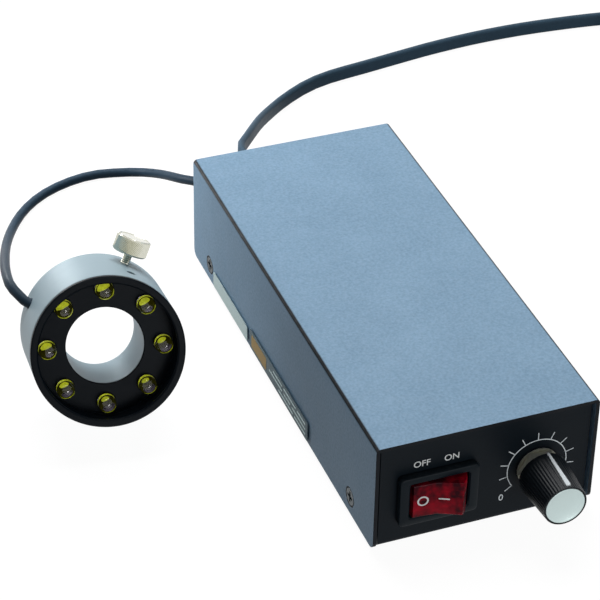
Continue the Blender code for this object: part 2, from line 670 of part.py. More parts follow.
def make_switch(panel_frame):
    """Makes the switch: its hollow housing, the rocker on its trunnions and three terminals."""
    at = frame("switch_frame", panel_frame, (SWITCH_X, SWITCH_Z, 0.0))
    back = -SWITCH_BODY_DEPTH
    bezel = rounded_rectangle(BEZEL_WIDTH, BEZEL_HEIGHT, BEZEL_CORNER)
    housing = piece("switch_housing", prism(bezel, SEAT_GAP, SEAT_GAP + BEZEL_DEPTH), BLACK_PLASTIC, at)
    body_height = SWITCH_BODY_DEPTH + SEAT_GAP + BEZEL_DEPTH / 2
    body = box((SWITCH_BODY_WIDTH, SWITCH_BODY_HEIGHT, body_height), (0.0, 0.0, back + body_height / 2))
    join(housing, mesh=body, name="body")
    front = SEAT_GAP + BEZEL_DEPTH
    depth = SWITCH_CAVITY_DEPTH + CUT_OVERRUN
    cavity = box(
        (SWITCH_OPENING_WIDTH, SWITCH_OPENING_HEIGHT, depth),
        (0.0, 0.0, front - SWITCH_CAVITY_DEPTH + depth / 2),
    )
    cut(housing, mesh=cavity, name="cavity")
    pivot = front + ROCKER_PROUD - ROCKER_FACE_DISTANCE
    reach = SWITCH_OPENING_HEIGHT / 2 - ROCKER_SIDE_GAP + TRUNNION_LENGTH
    upright = (math.radians(90.0), 0.0, 0.0)
    socket = rod(TRUNNION_RADIUS + SEAT_GAP, -reach - SEAT_GAP, reach + SEAT_GAP)
    cut(housing, mesh=socket, name="trunnion_sockets", location=(0.0, 0.0, pivot), rotation=upright)

    axis = frame("rocker_axis", at, (0.0, 0.0, pivot), (math.radians(-90.0), 0.0, 0.0))
    half = SWITCH_OPENING_HEIGHT / 2 - ROCKER_SIDE_GAP
    outline = rocker_profile(SWITCH_OPENING_WIDTH / 2 - ROCKER_END_GAP)
    seesaw = [(x, -y) for x, y in outline]
    turn = (0.0, 0.0, -math.radians(ROCKER_TRAVEL_DEG / 2))
    rocker = piece("switch_rocker", prism(seesaw, -half, half), RED_PLASTIC, axis, rotation=turn)
    join(rocker, mesh=rod(TRUNNION_RADIUS, -reach, reach), name="trunnions")

    for number in range(3):
        x = (number - 1) * TERMINAL_PITCH
        size = (TERMINAL_THICKNESS, TERMINAL_WIDTH, TERMINAL_LENGTH)
        place = (x, 0.0, back - SEAT_GAP - TERMINAL_LENGTH / 2)
        piece(f"switch_terminal_{number + 1}", box(size), BRASS, at, place)


# Dimmer


def make_potentiometer(dial_frame):
    """Makes the can with its threaded bush, and the washer and nut that hold it in the panel."""
    back = -SHEET - SEAT_GAP
    bore = POT_SHAFT_RADIUS + SEAT_GAP
    seat = back - POT_SHAFT_SEAT
    profile = [
        (bore, seat),
        (bore, back + POT_BUSH_LENGTH),
        (POT_BUSH_RADIUS, back + POT_BUSH_LENGTH),
        (POT_BUSH_RADIUS, back),
        (POT_CAN_RADIUS, back),
        (POT_CAN_RADIUS, back - POT_CAN_DEPTH),
    ]
    piece("pot_body", turned(profile), STEEL, dial_frame)
    inner = POT_BUSH_RADIUS + SEAT_GAP
    ring = ring_profile(inner, WASHER_RADIUS, SEAT_GAP, SEAT_GAP + WASHER_THICKNESS)
    piece("pot_washer", turned(ring, MEDIUM_SIDES, closed=True), BRASS, dial_frame)
    nut_base = 2 * SEAT_GAP + WASHER_THICKNESS
    corner = NUT_ACROSS_FLATS / (2 * math.cos(math.radians(30.0)))
    nut_front = nut_base + NUT_THICKNESS
    nut = piece("pot_nut", rod(corner, nut_base, nut_front, sides=6), BRASS, dial_frame)
    hole = rod(inner, nut_base - CUT_OVERRUN, nut_front + CUT_OVERRUN, MEDIUM_SIDES)
    cut(nut, mesh=hole, name="thread")
    return seat


def knob_ring(radius, height, fluted):
    """Returns one ring of the knob, with or without its flutes."""
    points = []
    sides = KNOB_FLUTE_POINTS * KNOB_FLUTES
    for i in range(sides):
        depth = KNOB_FLUTE_DEPTH if fluted and i % KNOB_FLUTE_POINTS == 0 else 0.0
        angle = math.tau * i / sides
        points.append(((radius - depth) * math.cos(angle), (radius - depth) * math.sin(angle), height))
    return points


def make_knob(dial_frame, seat):
    """Makes the shaft and the knob that it carries, with a flat metal cap in the knob's front."""
    shaft_end = seat + SEAT_GAP + POT_SHAFT_LENGTH
    shaft = rod(POT_SHAFT_RADIUS, seat + SEAT_GAP, shaft_end, MEDIUM_SIDES)
    piece("pot_shaft", shaft, STEEL, dial_frame)
    grip = POT_SHAFT_RADIUS + SEAT_GAP
    pocket = min(POT_BUSH_RADIUS + SEAT_GAP + KNOB_WALL, KNOB_BASE_RADIUS - KNOB_WALL)
    pocket_top = POT_BUSH_LENGTH - SHEET + SEAT_GAP
    cap_seat = KNOB_FRONT - CAP_THICKNESS - SEAT_GAP
    rings = (
        (grip, shaft_end + SEAT_GAP, False),
        (grip, pocket_top, False),
        (pocket, pocket_top, False),
        (pocket, KNOB_BASE, False),
        (KNOB_BASE_RADIUS, KNOB_BASE, False),
        (KNOB_BASE_RADIUS, KNOB_BASE + KNOB_SKIRT, False),
        (KNOB_BASE_RADIUS, KNOB_BASE + KNOB_SKIRT, True),
        (KNOB_FRONT_RADIUS, KNOB_FRONT - KNOB_EDGE, True),
        (KNOB_FRONT_RADIUS - KNOB_EDGE, KNOB_FRONT, False),
        (CAP_RADIUS + SEAT_GAP, KNOB_FRONT, False),
        (CAP_RADIUS + SEAT_GAP, cap_seat, False),
    )
    body = stacked([knob_ring(*ring) for ring in rings])
    bmesh.ops.remove_doubles(body, verts=body.verts, dist=SEAT_GAP / 100)
    piece("dimmer_knob", body, BLACK_PLASTIC, dial_frame)
    cap = rod(CAP_RADIUS, cap_seat + SEAT_GAP, KNOB_FRONT, MEDIUM_SIDES)
    piece("knob_cap", cap, ALUMINIUM, dial_frame)


# Electronics


def make_board(box_frame):
    """Makes the circuit board on its spacers, held down by four screws."""
    slab = box(
        (BOARD_WIDTH, BOARD_LENGTH, BOARD_THICKNESS),
        (0.0, BOARD_MIDDLE_Y, BOARD_UNDERSIDE + BOARD_THICKNESS / 2),
    )
    board = piece("circuit_board", slab, BOARD_GREEN, box_frame)
    bore = BOARD_SCREW_RADIUS + SEAT_GAP
    foot = BASE_TOP + SEAT_GAP
    top = foot + SPACER_HEIGHT
    tube = ring_profile(bore, SPACER_RADIUS, foot, top)
    seat = BOARD_TOP + SEAT_GAP
    screw = [
        (BOARD_SCREW_RADIUS, BOARD_UNDERSIDE - BOARD_SCREW_REACH),
        (BOARD_SCREW_RADIUS, seat),
        (BOARD_SCREW_HEAD_RADIUS, seat),
        (BOARD_SCREW_HEAD_RADIUS, seat + BOARD_SCREW_HEAD_HEIGHT),
    ]
    for number, (x, y) in enumerate(board_hole_places(), start=1):
        hole = rod(bore, BOARD_UNDERSIDE - CUT_OVERRUN, BOARD_TOP + CUT_OVERRUN)
        cut(board, mesh=hole, name=f"hole_{number}", location=(x, y, 0.0))
        spacer = turned(tube, SMALL_SIDES, closed=True)
        piece(f"board_spacer_{number}", spacer, BRASS, box_frame, (x, y, 0.0))
        piece(f"board_screw_{number}", turned(screw, SMALL_SIDES), STEEL, box_frame, (x, y, 0.0))


def make_transformer(board_frame):
    """Makes the laminated core and the winding round its middle leg."""
    y = BOARD_LENGTH / 2 - TRANSFORMER_REAR_INSET
    at = frame("transformer_frame", board_frame, (0.0, y, SEAT_GAP), OUT_OF_FRONT)
    slab = box((CORE_WIDTH, CORE_HEIGHT, CORE_STACK), (0.0, CORE_HEIGHT / 2, 0.0))
    core = piece("transformer_core", slab, STEEL, at)
    window_width = (CORE_WIDTH - CORE_MIDDLE_LEG) / 2 - CORE_LEG
    window_height = CORE_HEIGHT - 2 * CORE_LEG
    offset = (CORE_MIDDLE_LEG + window_width) / 2
    for name, side in (("left_window", -1), ("right_window", 1)):
        size = (window_width, window_height, CORE_STACK + 2 * CUT_OVERRUN)
        cut(core, mesh=box(size), name=name, location=(side * offset, CORE_HEIGHT / 2, 0.0))
    width = CORE_MIDDLE_LEG + 2 * (window_width - SEAT_GAP)
    depth = CORE_STACK + 2 * WINDING_OVERHANG
    height = window_height - 2 * SEAT_GAP
    place = (0.0, CORE_HEIGHT / 2, 0.0)
    winding = piece("transformer_winding", box((width, height, depth)), WINDING_TAPE, at, place)
    sleeve = (CORE_MIDDLE_LEG + 2 * SEAT_GAP, height + 2 * CUT_OVERRUN, CORE_STACK + 2 * SEAT_GAP)
    cut(winding, mesh=box(sleeve), name="middle_leg", location=place)


def make_board_parts(board_frame):
    """Makes the smoothing capacitor, the connector, and the regulator on its heat sink."""
    y = BOARD_LENGTH / 2 - CAPACITOR_REAR_INSET
    can = [
        (CAPACITOR_RADIUS - CAPACITOR_EDGE, 0.0),
        (CAPACITOR_RADIUS, CAPACITOR_EDGE),
        (CAPACITOR_RADIUS, CAPACITOR_HEIGHT - CAPACITOR_EDGE),
        (CAPACITOR_RADIUS - CAPACITOR_EDGE, CAPACITOR_HEIGHT),
    ]
    place = (-BOARD_WIDTH / 4, y, SEAT_GAP)
    piece("smoothing_capacitor", turned(can, MEDIUM_SIDES), SLEEVE_BLUE, board_frame, place)
    size = (CONNECTOR_WIDTH, CONNECTOR_DEPTH, CONNECTOR_HEIGHT)
    place = (BOARD_WIDTH / 4, y, SEAT_GAP + CONNECTOR_HEIGHT / 2)
    socket = piece("head_connector", box(size), NYLON, board_frame, place)
    well = (CONNECTOR_WIDTH - 2 * CONNECTOR_WALL, CONNECTOR_DEPTH - 2 * CONNECTOR_WALL, CONNECTOR_HEIGHT)
    cut(socket, mesh=box(well), name="well", location=Vector(place) + Vector((0.0, 0.0, CONNECTOR_WALL)))

    make_heat_sink(board_frame, y - SINK_SPACING)


def make_heat_sink(board_frame, y):
    """Makes the finned sink and, flat on its back, the regulator that it cools."""
    half = HEAT_SINK_WIDTH / 2
    pitch = (HEAT_SINK_WIDTH - HEAT_SINK_FIN) / (HEAT_SINK_FINS - 1)
    tip = HEAT_SINK_BASE + HEAT_SINK_FIN_LENGTH
    comb = []
    for number in range(HEAT_SINK_FINS):
        right = half - number * pitch
        left = right - HEAT_SINK_FIN
        comb += [(right, HEAT_SINK_BASE), (right, tip), (left, tip), (left, HEAT_SINK_BASE)]
    outline = [(-half, 0.0), (half, 0.0), *comb[1:-1]]
    place = (0.0, y, SEAT_GAP)
    turn = (0.0, 0.0, math.radians(180.0))
    piece("heat_sink", prism(outline, 0.0, HEAT_SINK_HEIGHT), ALUMINIUM, board_frame, place, turn)
    back = y + SEAT_GAP
    tab = box(
        (REGULATOR_WIDTH, REGULATOR_TAB_THICKNESS, REGULATOR_HEIGHT),
        (0.0, REGULATOR_TAB_THICKNESS / 2, REGULATOR_HEIGHT / 2),
    )
    place = (0.0, back, SEAT_GAP)
    regulator = piece("regulator", tab, BLACK_PLASTIC, board_frame, place)
    body_height = REGULATOR_HEIGHT * REGULATOR_BODY_SHARE
    body = box(
        (REGULATOR_WIDTH, REGULATOR_THICKNESS, body_height),
        (0.0, REGULATOR_THICKNESS / 2, body_height / 2),
    )
    join(regulator, mesh=body, name="body", location=place)


# Cords


def smooth_route(points, spacing):
    """Returns points at about even steps along a smooth curve through the given points."""
    ends = [2 * points[0] - points[1], *points, 2 * points[-1] - points[-2]]
    fine = []
    for i in range(1, len(ends) - 2):
        knots = [0.0]
        for a, b in zip(ends[i - 1 : i + 2], ends[i : i + 3], strict=True):
            knots.append(knots[-1] + math.sqrt((b - a).length))
        steps = max(2, math.ceil((ends[i + 1] - ends[i]).length / spacing * 6))
        for step in range(steps):
            at = knots[1] + (knots[2] - knots[1]) * step / steps
            fine.append(spline_point(ends[i - 1 : i + 3], knots, at))
    fine.append(points[-1])
    return evenly_spaced(fine, spacing)


def spline_point(corners, knots, at):
    """Returns one point of a Catmull-Rom span through four corners with uneven knots."""
    row = list(corners)
    for reach in (1, 2):
        row = [between(row[i], row[i + 1], knots[i], knots[i + reach], at) for i in range(4 - reach)]
    return between(row[0], row[1], knots[1], knots[2], at)


def between(a, b, low, high, at):
    """Returns the point that lies from a to b as far as at lies from low to high."""
    return a.lerp(b, (at - low) / (high - low))


def evenly_spaced(points, spacing):
    """Returns points at even steps along a polyline, with both its ends."""
    lengths = [(b - a).length for a, b in zip(points, points[1:], strict=False)]
    total = sum(lengths)
    count = max(2, round(total / spacing))
    result = [points[0]]
    i, walked = 0, 0.0
    for step in range(1, count):
        goal = total * step / count
        while walked + lengths[i] < goal:
            walked += lengths[i]
            i += 1
        result.append(points[i].lerp(points[i + 1], (goal - walked) / lengths[i]))
    result.append(points[-1])
    return result


def cord(name, points, radius, parent, flat=0.0, resolution=2):
    """Adds a cord along its points. A flat cord stands on edge, flat metres taller each way."""
    data = bpy.data.curves.new(name, "CURVE")
    data.dimensions = "3D"
    data.twist_mode = "Z_UP"
    data.resolution_u = 1
    data.render_resolution_u = 0
    data.bevel_depth = radius
    data.bevel_resolution = resolution
    data.extrude = flat
    data.use_fill_caps = True
    spline = data.splines.new("POLY")
    spline.points.add(len(points) - 1)
    for point, place in zip(spline.points, points, strict=True):
        point.co = (*place, 1.0)
    data.materials.append(SOFT_PLASTIC())
    made = bpy.data.objects.new(name, data)
    bpy.context.scene.collection.objects.link(made)
    made.parent = parent
    return made


def make_exits(box_frame):
    """Makes the moulded boot of the mains cord and the grommet of the head's cord."""
    rear = CASE_LENGTH - PANEL_RECESS
    inside = -SHEET - SEAT_GAP
    boot = [
        (MAINS_BOOT_FLANGE_RADIUS, inside - MAINS_BOOT_FLANGE),
        (MAINS_BOOT_FLANGE_RADIUS, inside),
        (MAINS_BOOT_RADIUS, inside),
        (MAINS_BOOT_RADIUS, SEAT_GAP),
        (MAINS_BOOT_FLANGE_RADIUS, SEAT_GAP),
        (MAINS_BOOT_FLANGE_RADIUS, MAINS_BOOT_FLANGE),
        (MAINS_BOOT_RADIUS, MAINS_BOOT_FLANGE),
        (MAINS_BOOT_TIP_RADIUS, MAINS_BOOT_LENGTH),
    ]
    place = (MAINS_EXIT_X, rear, MAINS_EXIT_Z)
    piece("mains_bushing", turned(boot), SOFT_PLASTIC, box_frame, place, OUT_OF_REAR)
    grommet = [
        (GROMMET_RADIUS, inside - GROMMET_TAIL),
        (GROMMET_RADIUS, inside),
        (GROMMET_NECK_RADIUS, inside),
        (GROMMET_NECK_RADIUS, SEAT_GAP),
        (GROMMET_RADIUS, SEAT_GAP),
        (GROMMET_RADIUS, GROMMET_LENGTH),
    ]
    place = (HEAD_EXIT_X, rear, HEAD_EXIT_Z)
    piece("head_cord_grommet", turned(grommet), RUBBER, box_frame, place, OUT_OF_REAR)


def make_head_cord(box_frame, head_frame):
    """Runs the head's cord from its grommet along the bench and into the side of the head."""
    start = Vector((HEAD_EXIT_X, CASE_LENGTH - PANEL_RECESS + GROMMET_LENGTH + SEAT_GAP, HEAD_EXIT_Z))
    straight = Vector((0.0, 2 * HEAD_CORD_RADIUS, 0.0))
    place = Matrix.LocRotScale(head_frame.location, head_frame.rotation_euler, None)
    entry, way_out = cord_entry()
    ends = [
        place @ (entry + way_out * run)
        for run in (HEAD_CORD_STRAIGHT, 0.0, -HEAD_CORD_INSIDE)
    ]
    points = [start, start + straight, *(Vector(p) for p in HEAD_ROUTE), *ends]
    cord("head_cord", smooth_route(points, HEAD_CORD_POINT_SPACING), HEAD_CORD_RADIUS, box_frame)


def coil_point(turns):
    """Returns a point of the coil, so many turns after its start, in the frame of the box.

    The coil winds clockwise, seen from above: in along the first layer, and out along the next one.
    It climbs in the half turn in which its spiral reverses.
    """
    layer = min(int(turns / COIL_TURNS_PER_LAYER), COIL_LAYERS - 1)
    along = turns - layer * COIL_TURNS_PER_LAYER
    inwards = layer % 2 == 0
    radius = COIL_OUTER_RADIUS - COIL_PITCH * along if inwards else COIL_INNER_RADIUS + COIL_PITCH * along
    height = COIL_BASE
    for climb in range(1, COIL_LAYERS):
        share = (turns - climb * COIL_TURNS_PER_LAYER) * 2 + 1 / 2
        height += COIL_LAYER_PITCH * min(max(share, 0.0), 1.0)
    angle = math.radians(COIL_START_DEG) - math.tau * turns
    return Vector((COIL_X + radius * math.cos(angle), COIL_Y + radius * math.sin(angle), height))


def coil_points():
    """Returns the coil with its straight start, and the tail that comes down to the plug."""
    turns = COIL_LAYERS * COIL_TURNS_PER_LAYER
    steps = round(turns * COIL_POINTS_PER_TURN)
    wound = [coil_point(turns * step / steps) for step in range(steps + 1)]
    lead = (MAINS_CORD_WIDTH + MAINS_CORD_THICKNESS) / 2
    start = wound[0] - Vector((lead, 0.0, 0.0))
    heading = math.radians(COIL_START_DEG) - math.tau * turns - math.radians(90.0)
    way = Vector((math.cos(heading), math.sin(heading), 0.0))
    last = wound[-1]
    plug_height = PLUG_THICKNESS / 2 - FOOT_HEIGHT
    tail = []
    for run, drop in zip(COIL_TAIL_RUN_SHARES, COIL_TAIL_DROP_SHARES, strict=True):
        point = last + way * (COIL_TAIL * run)
        point.z += (plug_height - last.z) * drop
        tail.append(point)
    return [start, *wound, *tail], way


def least_gap(points, skip):
    """Returns the least gap between a flat cord's turns, from the points of its centre line."""
    least = math.inf
    for i, a in enumerate(points):
        for b in points[i + skip :]:
            aside = math.hypot(a.x - b.x, a.y - b.y)
            above = max(abs(a.z - b.z) - 2 * CORD_FLAT, 0.0)
            least = min(least, math.hypot(aside, above) - MAINS_CORD_THICKNESS)
    return least


def make_mains_cord(box_frame):
    """Runs the mains cord to its coil, winds the coil, ties it and fits the plug."""
    start = Vector((MAINS_EXIT_X, CASE_LENGTH - PANEL_RECESS + MAINS_BOOT_LENGTH + SEAT_GAP, MAINS_EXIT_Z))
    coil, way = coil_points()
    straight = Vector((MAINS_CORD_WIDTH, 0.0, 0.0))
    end = coil[0] - Vector((SEAT_GAP, 0.0, 0.0))
    points = [start, *(Vector(p) for p in MAINS_ROUTE), end - straight, end]
    radius = MAINS_CORD_THICKNESS / 2
    route = smooth_route(points, CORD_POINT_SPACING)
    cord("mains_cord", route, radius, box_frame, CORD_FLAT)
    cord("mains_coil", coil, radius, box_frame, CORD_FLAT, resolution=1)
    gap = least_gap(coil, COIL_POINTS_PER_TURN // 2)
    print(f"least gap of the coil to itself: {gap * 1000:.2f} mm")
    length = sum((b - a).length for run in (route, coil) for a, b in zip(run, run[1:], strict=False))
    print(f"length of the mains cord: {length:.3f} m")
    make_tie(box_frame)
    make_plug(box_frame, coil[-1] + way * SEAT_GAP, way)


def make_tie(box_frame):
    """Makes the strap round the bundle of turns."""
    angle = math.radians(TIE_ANGLE_DEG)
    width = COIL_OUTER_RADIUS - COIL_INNER_RADIUS + MAINS_CORD_THICKNESS + 2 * TIE_CLEARANCE
    height = MAINS_CORD_WIDTH + (COIL_LAYERS - 1) * COIL_LAYER_PITCH + 2 * TIE_CLEARANCE
    middle = COIL_BASE + (COIL_LAYERS - 1) * COIL_LAYER_PITCH / 2
    place = (
        COIL_X + COIL_MIDDLE_RADIUS * math.cos(angle),
        COIL_Y + COIL_MIDDLE_RADIUS * math.sin(angle),
        middle,
    )
    corner = MAINS_CORD_THICKNESS / 2
    inner = rounded_rectangle(width, height, corner)
    outer = rounded_rectangle(width + 2 * TIE_THICKNESS, height + 2 * TIE_THICKNESS, corner + TIE_THICKNESS)
    half = TIE_WIDTH / 2
    rings = [
        [(x, y, z) for x, y in outline]
        for outline, z in ((inner, -half), (outer, -half), (outer, half), (inner, half))
    ]
    turn = (math.radians(90.0), 0.0, angle)
    piece("coil_tie", stacked(rings, closed=True), RUBBER, box_frame, place, turn)


def make_plug(box_frame, place, way):
    """Makes the two-pin plug, with its own Z out of its face, behind the boot that the cord enters."""
    turn = math.atan2(way.x, -way.y)
    at = frame("plug_frame", box_frame, place, (math.radians(90.0), 0.0, turn))
    boot_end = PLUG_BOOT_LENGTH
    face = boot_end + PLUG_LENGTH
    edge = PLUG_EDGE
    sections = (
        (2 * PLUG_BOOT_RADIUS, 2 * PLUG_BOOT_RADIUS, 0.0),
        (2 * (PLUG_BOOT_RADIUS + edge), 2 * (PLUG_BOOT_RADIUS + edge), boot_end - edge),
        (PLUG_SHOULDER_WIDTH, PLUG_SHOULDER_THICKNESS, boot_end + edge),
        (PLUG_WIDTH - edge, PLUG_THICKNESS, boot_end + PLUG_LENGTH / 3),
        (PLUG_WIDTH, PLUG_THICKNESS, face - edge),
        (PLUG_WIDTH - edge, PLUG_THICKNESS - edge, face),
    )
    rings = []
    for width, height, z in sections:
        corner = min(width, height) / 2 - edge / 4
        rings.append([(x, y, z) for x, y in rounded_rectangle(width, height, corner)])
    piece("mains_plug", stacked(rings), SOFT_PLASTIC, at)
    for number, side in enumerate((-1, 1), start=1):
        size = (PIN_THICKNESS, PIN_WIDTH, PIN_LENGTH)
        place = (side * PIN_PITCH / 2, 0.0, face + SEAT_GAP + PIN_LENGTH / 2)
        pin = piece(f"plug_pin_{number}", box(size), NICKEL, at, place)
        hole = rod(PIN_HOLE_RADIUS, -PIN_THICKNESS, PIN_THICKNESS)
        spot = (place[0], 0.0, face + SEAT_GAP + PIN_LENGTH - PIN_HOLE_FROM_TIP)
        cut(pin, mesh=hole, name="hole", location=spot, rotation=(0.0, math.radians(90.0), 0.0))


# Lamp head


def head_place():
    """Returns the middle of the front rim, with the lower edge of the rear face on the bench."""
    lean = math.radians(HEAD_ELEVATION_DEG)
    height = HEAD_RADIUS * math.cos(lean) + HEAD_LENGTH * math.sin(lean) - FOOT_HEIGHT
    return (HEAD_X, HEAD_Y, height)


def head_rotation():
    """Returns the turn that points the head's Z out of its lamps and its Y up."""
    return (math.radians(90.0 - HEAD_ELEVATION_DEG), 0.0, math.radians(HEAD_AZIMUTH_DEG))


def cord_entry():
    """Returns where the cord enters the head, and the direction from there out, in its frame."""
    angle = math.radians(HEAD_CORD_ANGLE_DEG)
    slant = math.radians(HEAD_CORD_SLANT_DEG)
    aside = Vector((math.cos(angle), math.sin(angle), 0.0))
    entry = aside * HEAD_RADIUS - Vector((0.0, 0.0, HEAD_CORD_DEPTH))
    way_out = aside * math.cos(slant) - Vector((0.0, 0.0, math.sin(slant)))
    return entry, way_out


def radial_frame(name, head_frame, angle, depth):
    """Adds a frame on the head's surface whose Z points away from its axis."""
    place = (HEAD_RADIUS * math.cos(angle), HEAD_RADIUS * math.sin(angle), -depth)
    return frame(name, head_frame, place, (0.0, math.radians(90.0), angle))


def led_places():
    """Yields the place of each lamp round the axis, clockwise from the top one."""
    for number in range(LED_COUNT):
        angle = math.radians(90.0 - LED_PHASE_DEG) - math.tau * number / LED_COUNT
        yield LED_CIRCLE_RADIUS * math.cos(angle), LED_CIRCLE_RADIUS * math.sin(angle), angle


def make_housing(head_frame, clamp_axis, grub_axis):
    """Makes the grey housing: an outer wall, a rear wall and the tube round the bore."""
    front = -HOUSING_FRONT
    tube_front = -HOLDER_BACK - SEAT_GAP
    profile = [
        (HEAD_RADIUS - HOUSING_EDGE, front),
        (HEAD_RADIUS, front - HOUSING_EDGE),
        (HEAD_RADIUS, -HEAD_LENGTH),
        (HEAD_BORE_RADIUS, -HEAD_LENGTH),
        (HEAD_BORE_RADIUS, tube_front),
        (TUBE_OUTER_RADIUS, tube_front),
        (TUBE_OUTER_RADIUS, -REAR_WALL_FRONT),
        (HOUSING_INNER_RADIUS, -REAR_WALL_FRONT),
        (HOUSING_INNER_RADIUS, front),
    ]
    housing = piece("head_housing", turned(profile, LARGE_SIDES, closed=True), ANODISED, head_frame)
    middle_of_tube = (HEAD_BORE_RADIUS + TUBE_OUTER_RADIUS) / 2 - HEAD_RADIUS
    boss = rod(CLAMP_BOSS_RADIUS, middle_of_tube, -HOUSING_WALL / 2)
    join(housing, mesh=boss, name="clamp_boss", parent=clamp_axis)
    bore = rod(CLAMP_THREAD_RADIUS, HEAD_BORE_RADIUS / 2 - HEAD_RADIUS, CUT_OVERRUN)
    cut(housing, mesh=bore, name="clamp_thread", parent=clamp_axis)
    hole = rod(GRUB_RADIUS + SEAT_GAP, -HOUSING_WALL - CUT_OVERRUN, CUT_OVERRUN)
    cut(housing, mesh=hole, name="grub_hole", parent=grub_axis)
    entry, way_out = cord_entry()
    turn = way_out.to_track_quat("Z", "Y").to_euler()
    reach = 3 * HOUSING_WALL
    hole = rod(HEAD_CORD_RADIUS + SEAT_GAP, -reach, reach)
    cut(housing, mesh=hole, name="cord_hole", location=entry, rotation=turn)


def make_holder(head_frame, grub_axis):
    """Makes the black lamp holder: a rim with a deep recess, whose floor has a hole for each lamp."""
    flange_back = -HOLDER_FLANGE
    profile = [
        (HOLDER_RECESS_RADIUS, 0.0),
        (HEAD_RADIUS, 0.0),
        (HEAD_RADIUS, flange_back),
        (HOLDER_RADIUS, flange_back),
        (HOLDER_RADIUS, -HOLDER_BACK),
        (HEAD_BORE_RADIUS, -HOLDER_BACK),
        (HEAD_BORE_RADIUS, -HOLDER_RECESS),
        (HOLDER_RECESS_RADIUS, -HOLDER_RECESS),
    ]
    holder = piece("led_holder", turned(profile, LARGE_SIDES, closed=True), BLACK_ANODISED, head_frame)
    for number, (x, y, _) in enumerate(led_places(), start=1):
        hole = rod(LED_RADIUS + SEAT_GAP, -HOLDER_BACK - CUT_OVERRUN, CUT_OVERRUN - HOLDER_RECESS)
        cut(holder, mesh=hole, name=f"lamp_hole_{number}", location=(x, y, 0.0))
    length = GRUB_SINK + GRUB_LENGTH + SEAT_GAP
    cut(holder, mesh=rod(GRUB_RADIUS + SEAT_GAP, -length, CUT_OVERRUN), name="grub_hole", parent=grub_axis)


def led_mesh():
    """Returns the mesh of one lamp: a dome on a flanged barrel, with two legs down to its board."""
    top = -HOLDER_RECESS + LED_PROUD
    low = top - LED_LENGTH
    shoulder = low + LED_FLANGE_THICKNESS
    profile = [(LED_FLANGE_RADIUS, low), (LED_FLANGE_RADIUS, shoulder), (LED_RADIUS, shoulder)]
    for step in range(DOME_STEPS):
        angle = math.radians(90.0) * step / DOME_STEPS
        profile.append((LED_RADIUS * math.cos(angle), top - LED_RADIUS + LED_RADIUS * math.sin(angle)))
    last = math.radians(90.0) * (DOME_STEPS - 1 / 3) / DOME_STEPS
    profile.append((LED_RADIUS * math.cos(last), top))
    pattern = piece("lamp_pattern", turned(profile, SMALL_SIDES), CLEAR_RESIN, None)
    leg_end = -LED_BOARD_FRONT + SEAT_GAP
    for name, side in (("left_leg", -1), ("right_leg", 1)):
        leg = prism(rounded_rectangle(LED_LEG, LED_LEG, LED_LEG / 4, steps=1), leg_end, low + LED_LEG)
        join(pattern, mesh=leg, name=name, location=(side * LED_LEG_PITCH / 2, 0.0, 0.0))
    graph = bpy.context.evaluated_depsgraph_get()
    mesh = bpy.data.meshes.new_from_object(pattern.evaluated_get(graph))
    for used in [pattern, *(step.object for step in pattern.modifiers)]:
        bpy.data.objects.remove(used, do_unlink=True)
    return mesh


def make_leds(head_frame):
    """Makes the lamps, which share one mesh, and the ring board behind them."""
    mesh = led_mesh()
    for number, (x, y, angle) in enumerate(led_places(), start=1):
        lamp = bpy.data.objects.new(f"led_{number}", mesh)
        bpy.context.scene.collection.objects.link(lamp)
        lamp.parent = head_frame
        lamp.location = (x, y, 0.0)
        lamp.rotation_euler = (0.0, 0.0, angle + math.radians(90.0))
    inner = TUBE_OUTER_RADIUS + SEAT_GAP
    outer = HOUSING_INNER_RADIUS - SEAT_GAP
    ring = ring_profile(inner, outer, -LED_BOARD_BACK, -LED_BOARD_FRONT)
    piece("led_board", turned(ring, LARGE_SIDES, closed=True), BOARD_WHITE, head_frame)


def make_clamp(clamp_axis):
    """Makes the knurled thumb screw and the soft tip in front of its shank.

    The tip slides along the screw's axis, and the screw turns about it as it follows. Both frames
    have Z away from the head's axis, so pushing in is along -Z.
    """
    tip_front = HEAD_BORE_RADIUS - HEAD_RADIUS + CLAMP_TIP_SINK
    tip_back = tip_front + CLAMP_TIP_LENGTH
    piece("clamp_tip", rod(CLAMP_SHANK_RADIUS, tip_front, tip_back), NYLON, clamp_axis)
    knob_top = CLAMP_NECK + CLAMP_KNOB_HEIGHT
    rim = CLAMP_KNOB_RADIUS - CLAMP_KNOB_EDGE
    sides = 2 * CLAMP_KNOB_RIBS
    rings = []
    for radius, height, ribbed in (
        (CLAMP_SHANK_RADIUS, tip_back + SEAT_GAP, False),
        (CLAMP_SHANK_RADIUS, CLAMP_NECK, False),
        (rim, CLAMP_NECK, False),
        (CLAMP_KNOB_RADIUS, CLAMP_NECK + CLAMP_KNOB_EDGE, True),
        (CLAMP_KNOB_RADIUS, knob_top - CLAMP_KNOB_EDGE, True),
        (rim, knob_top, False),
    ):
        ring = circle(radius, height, sides)
        if ribbed:
            share = 1 - CLAMP_RIB_DEPTH / radius
            ring = [(x * share, y * share, z) if i % 2 else (x, y, z) for i, (x, y, z) in enumerate(ring)]
        rings.append(ring)
    piece("thumb_screw", stacked(rings), NICKEL, clamp_axis)


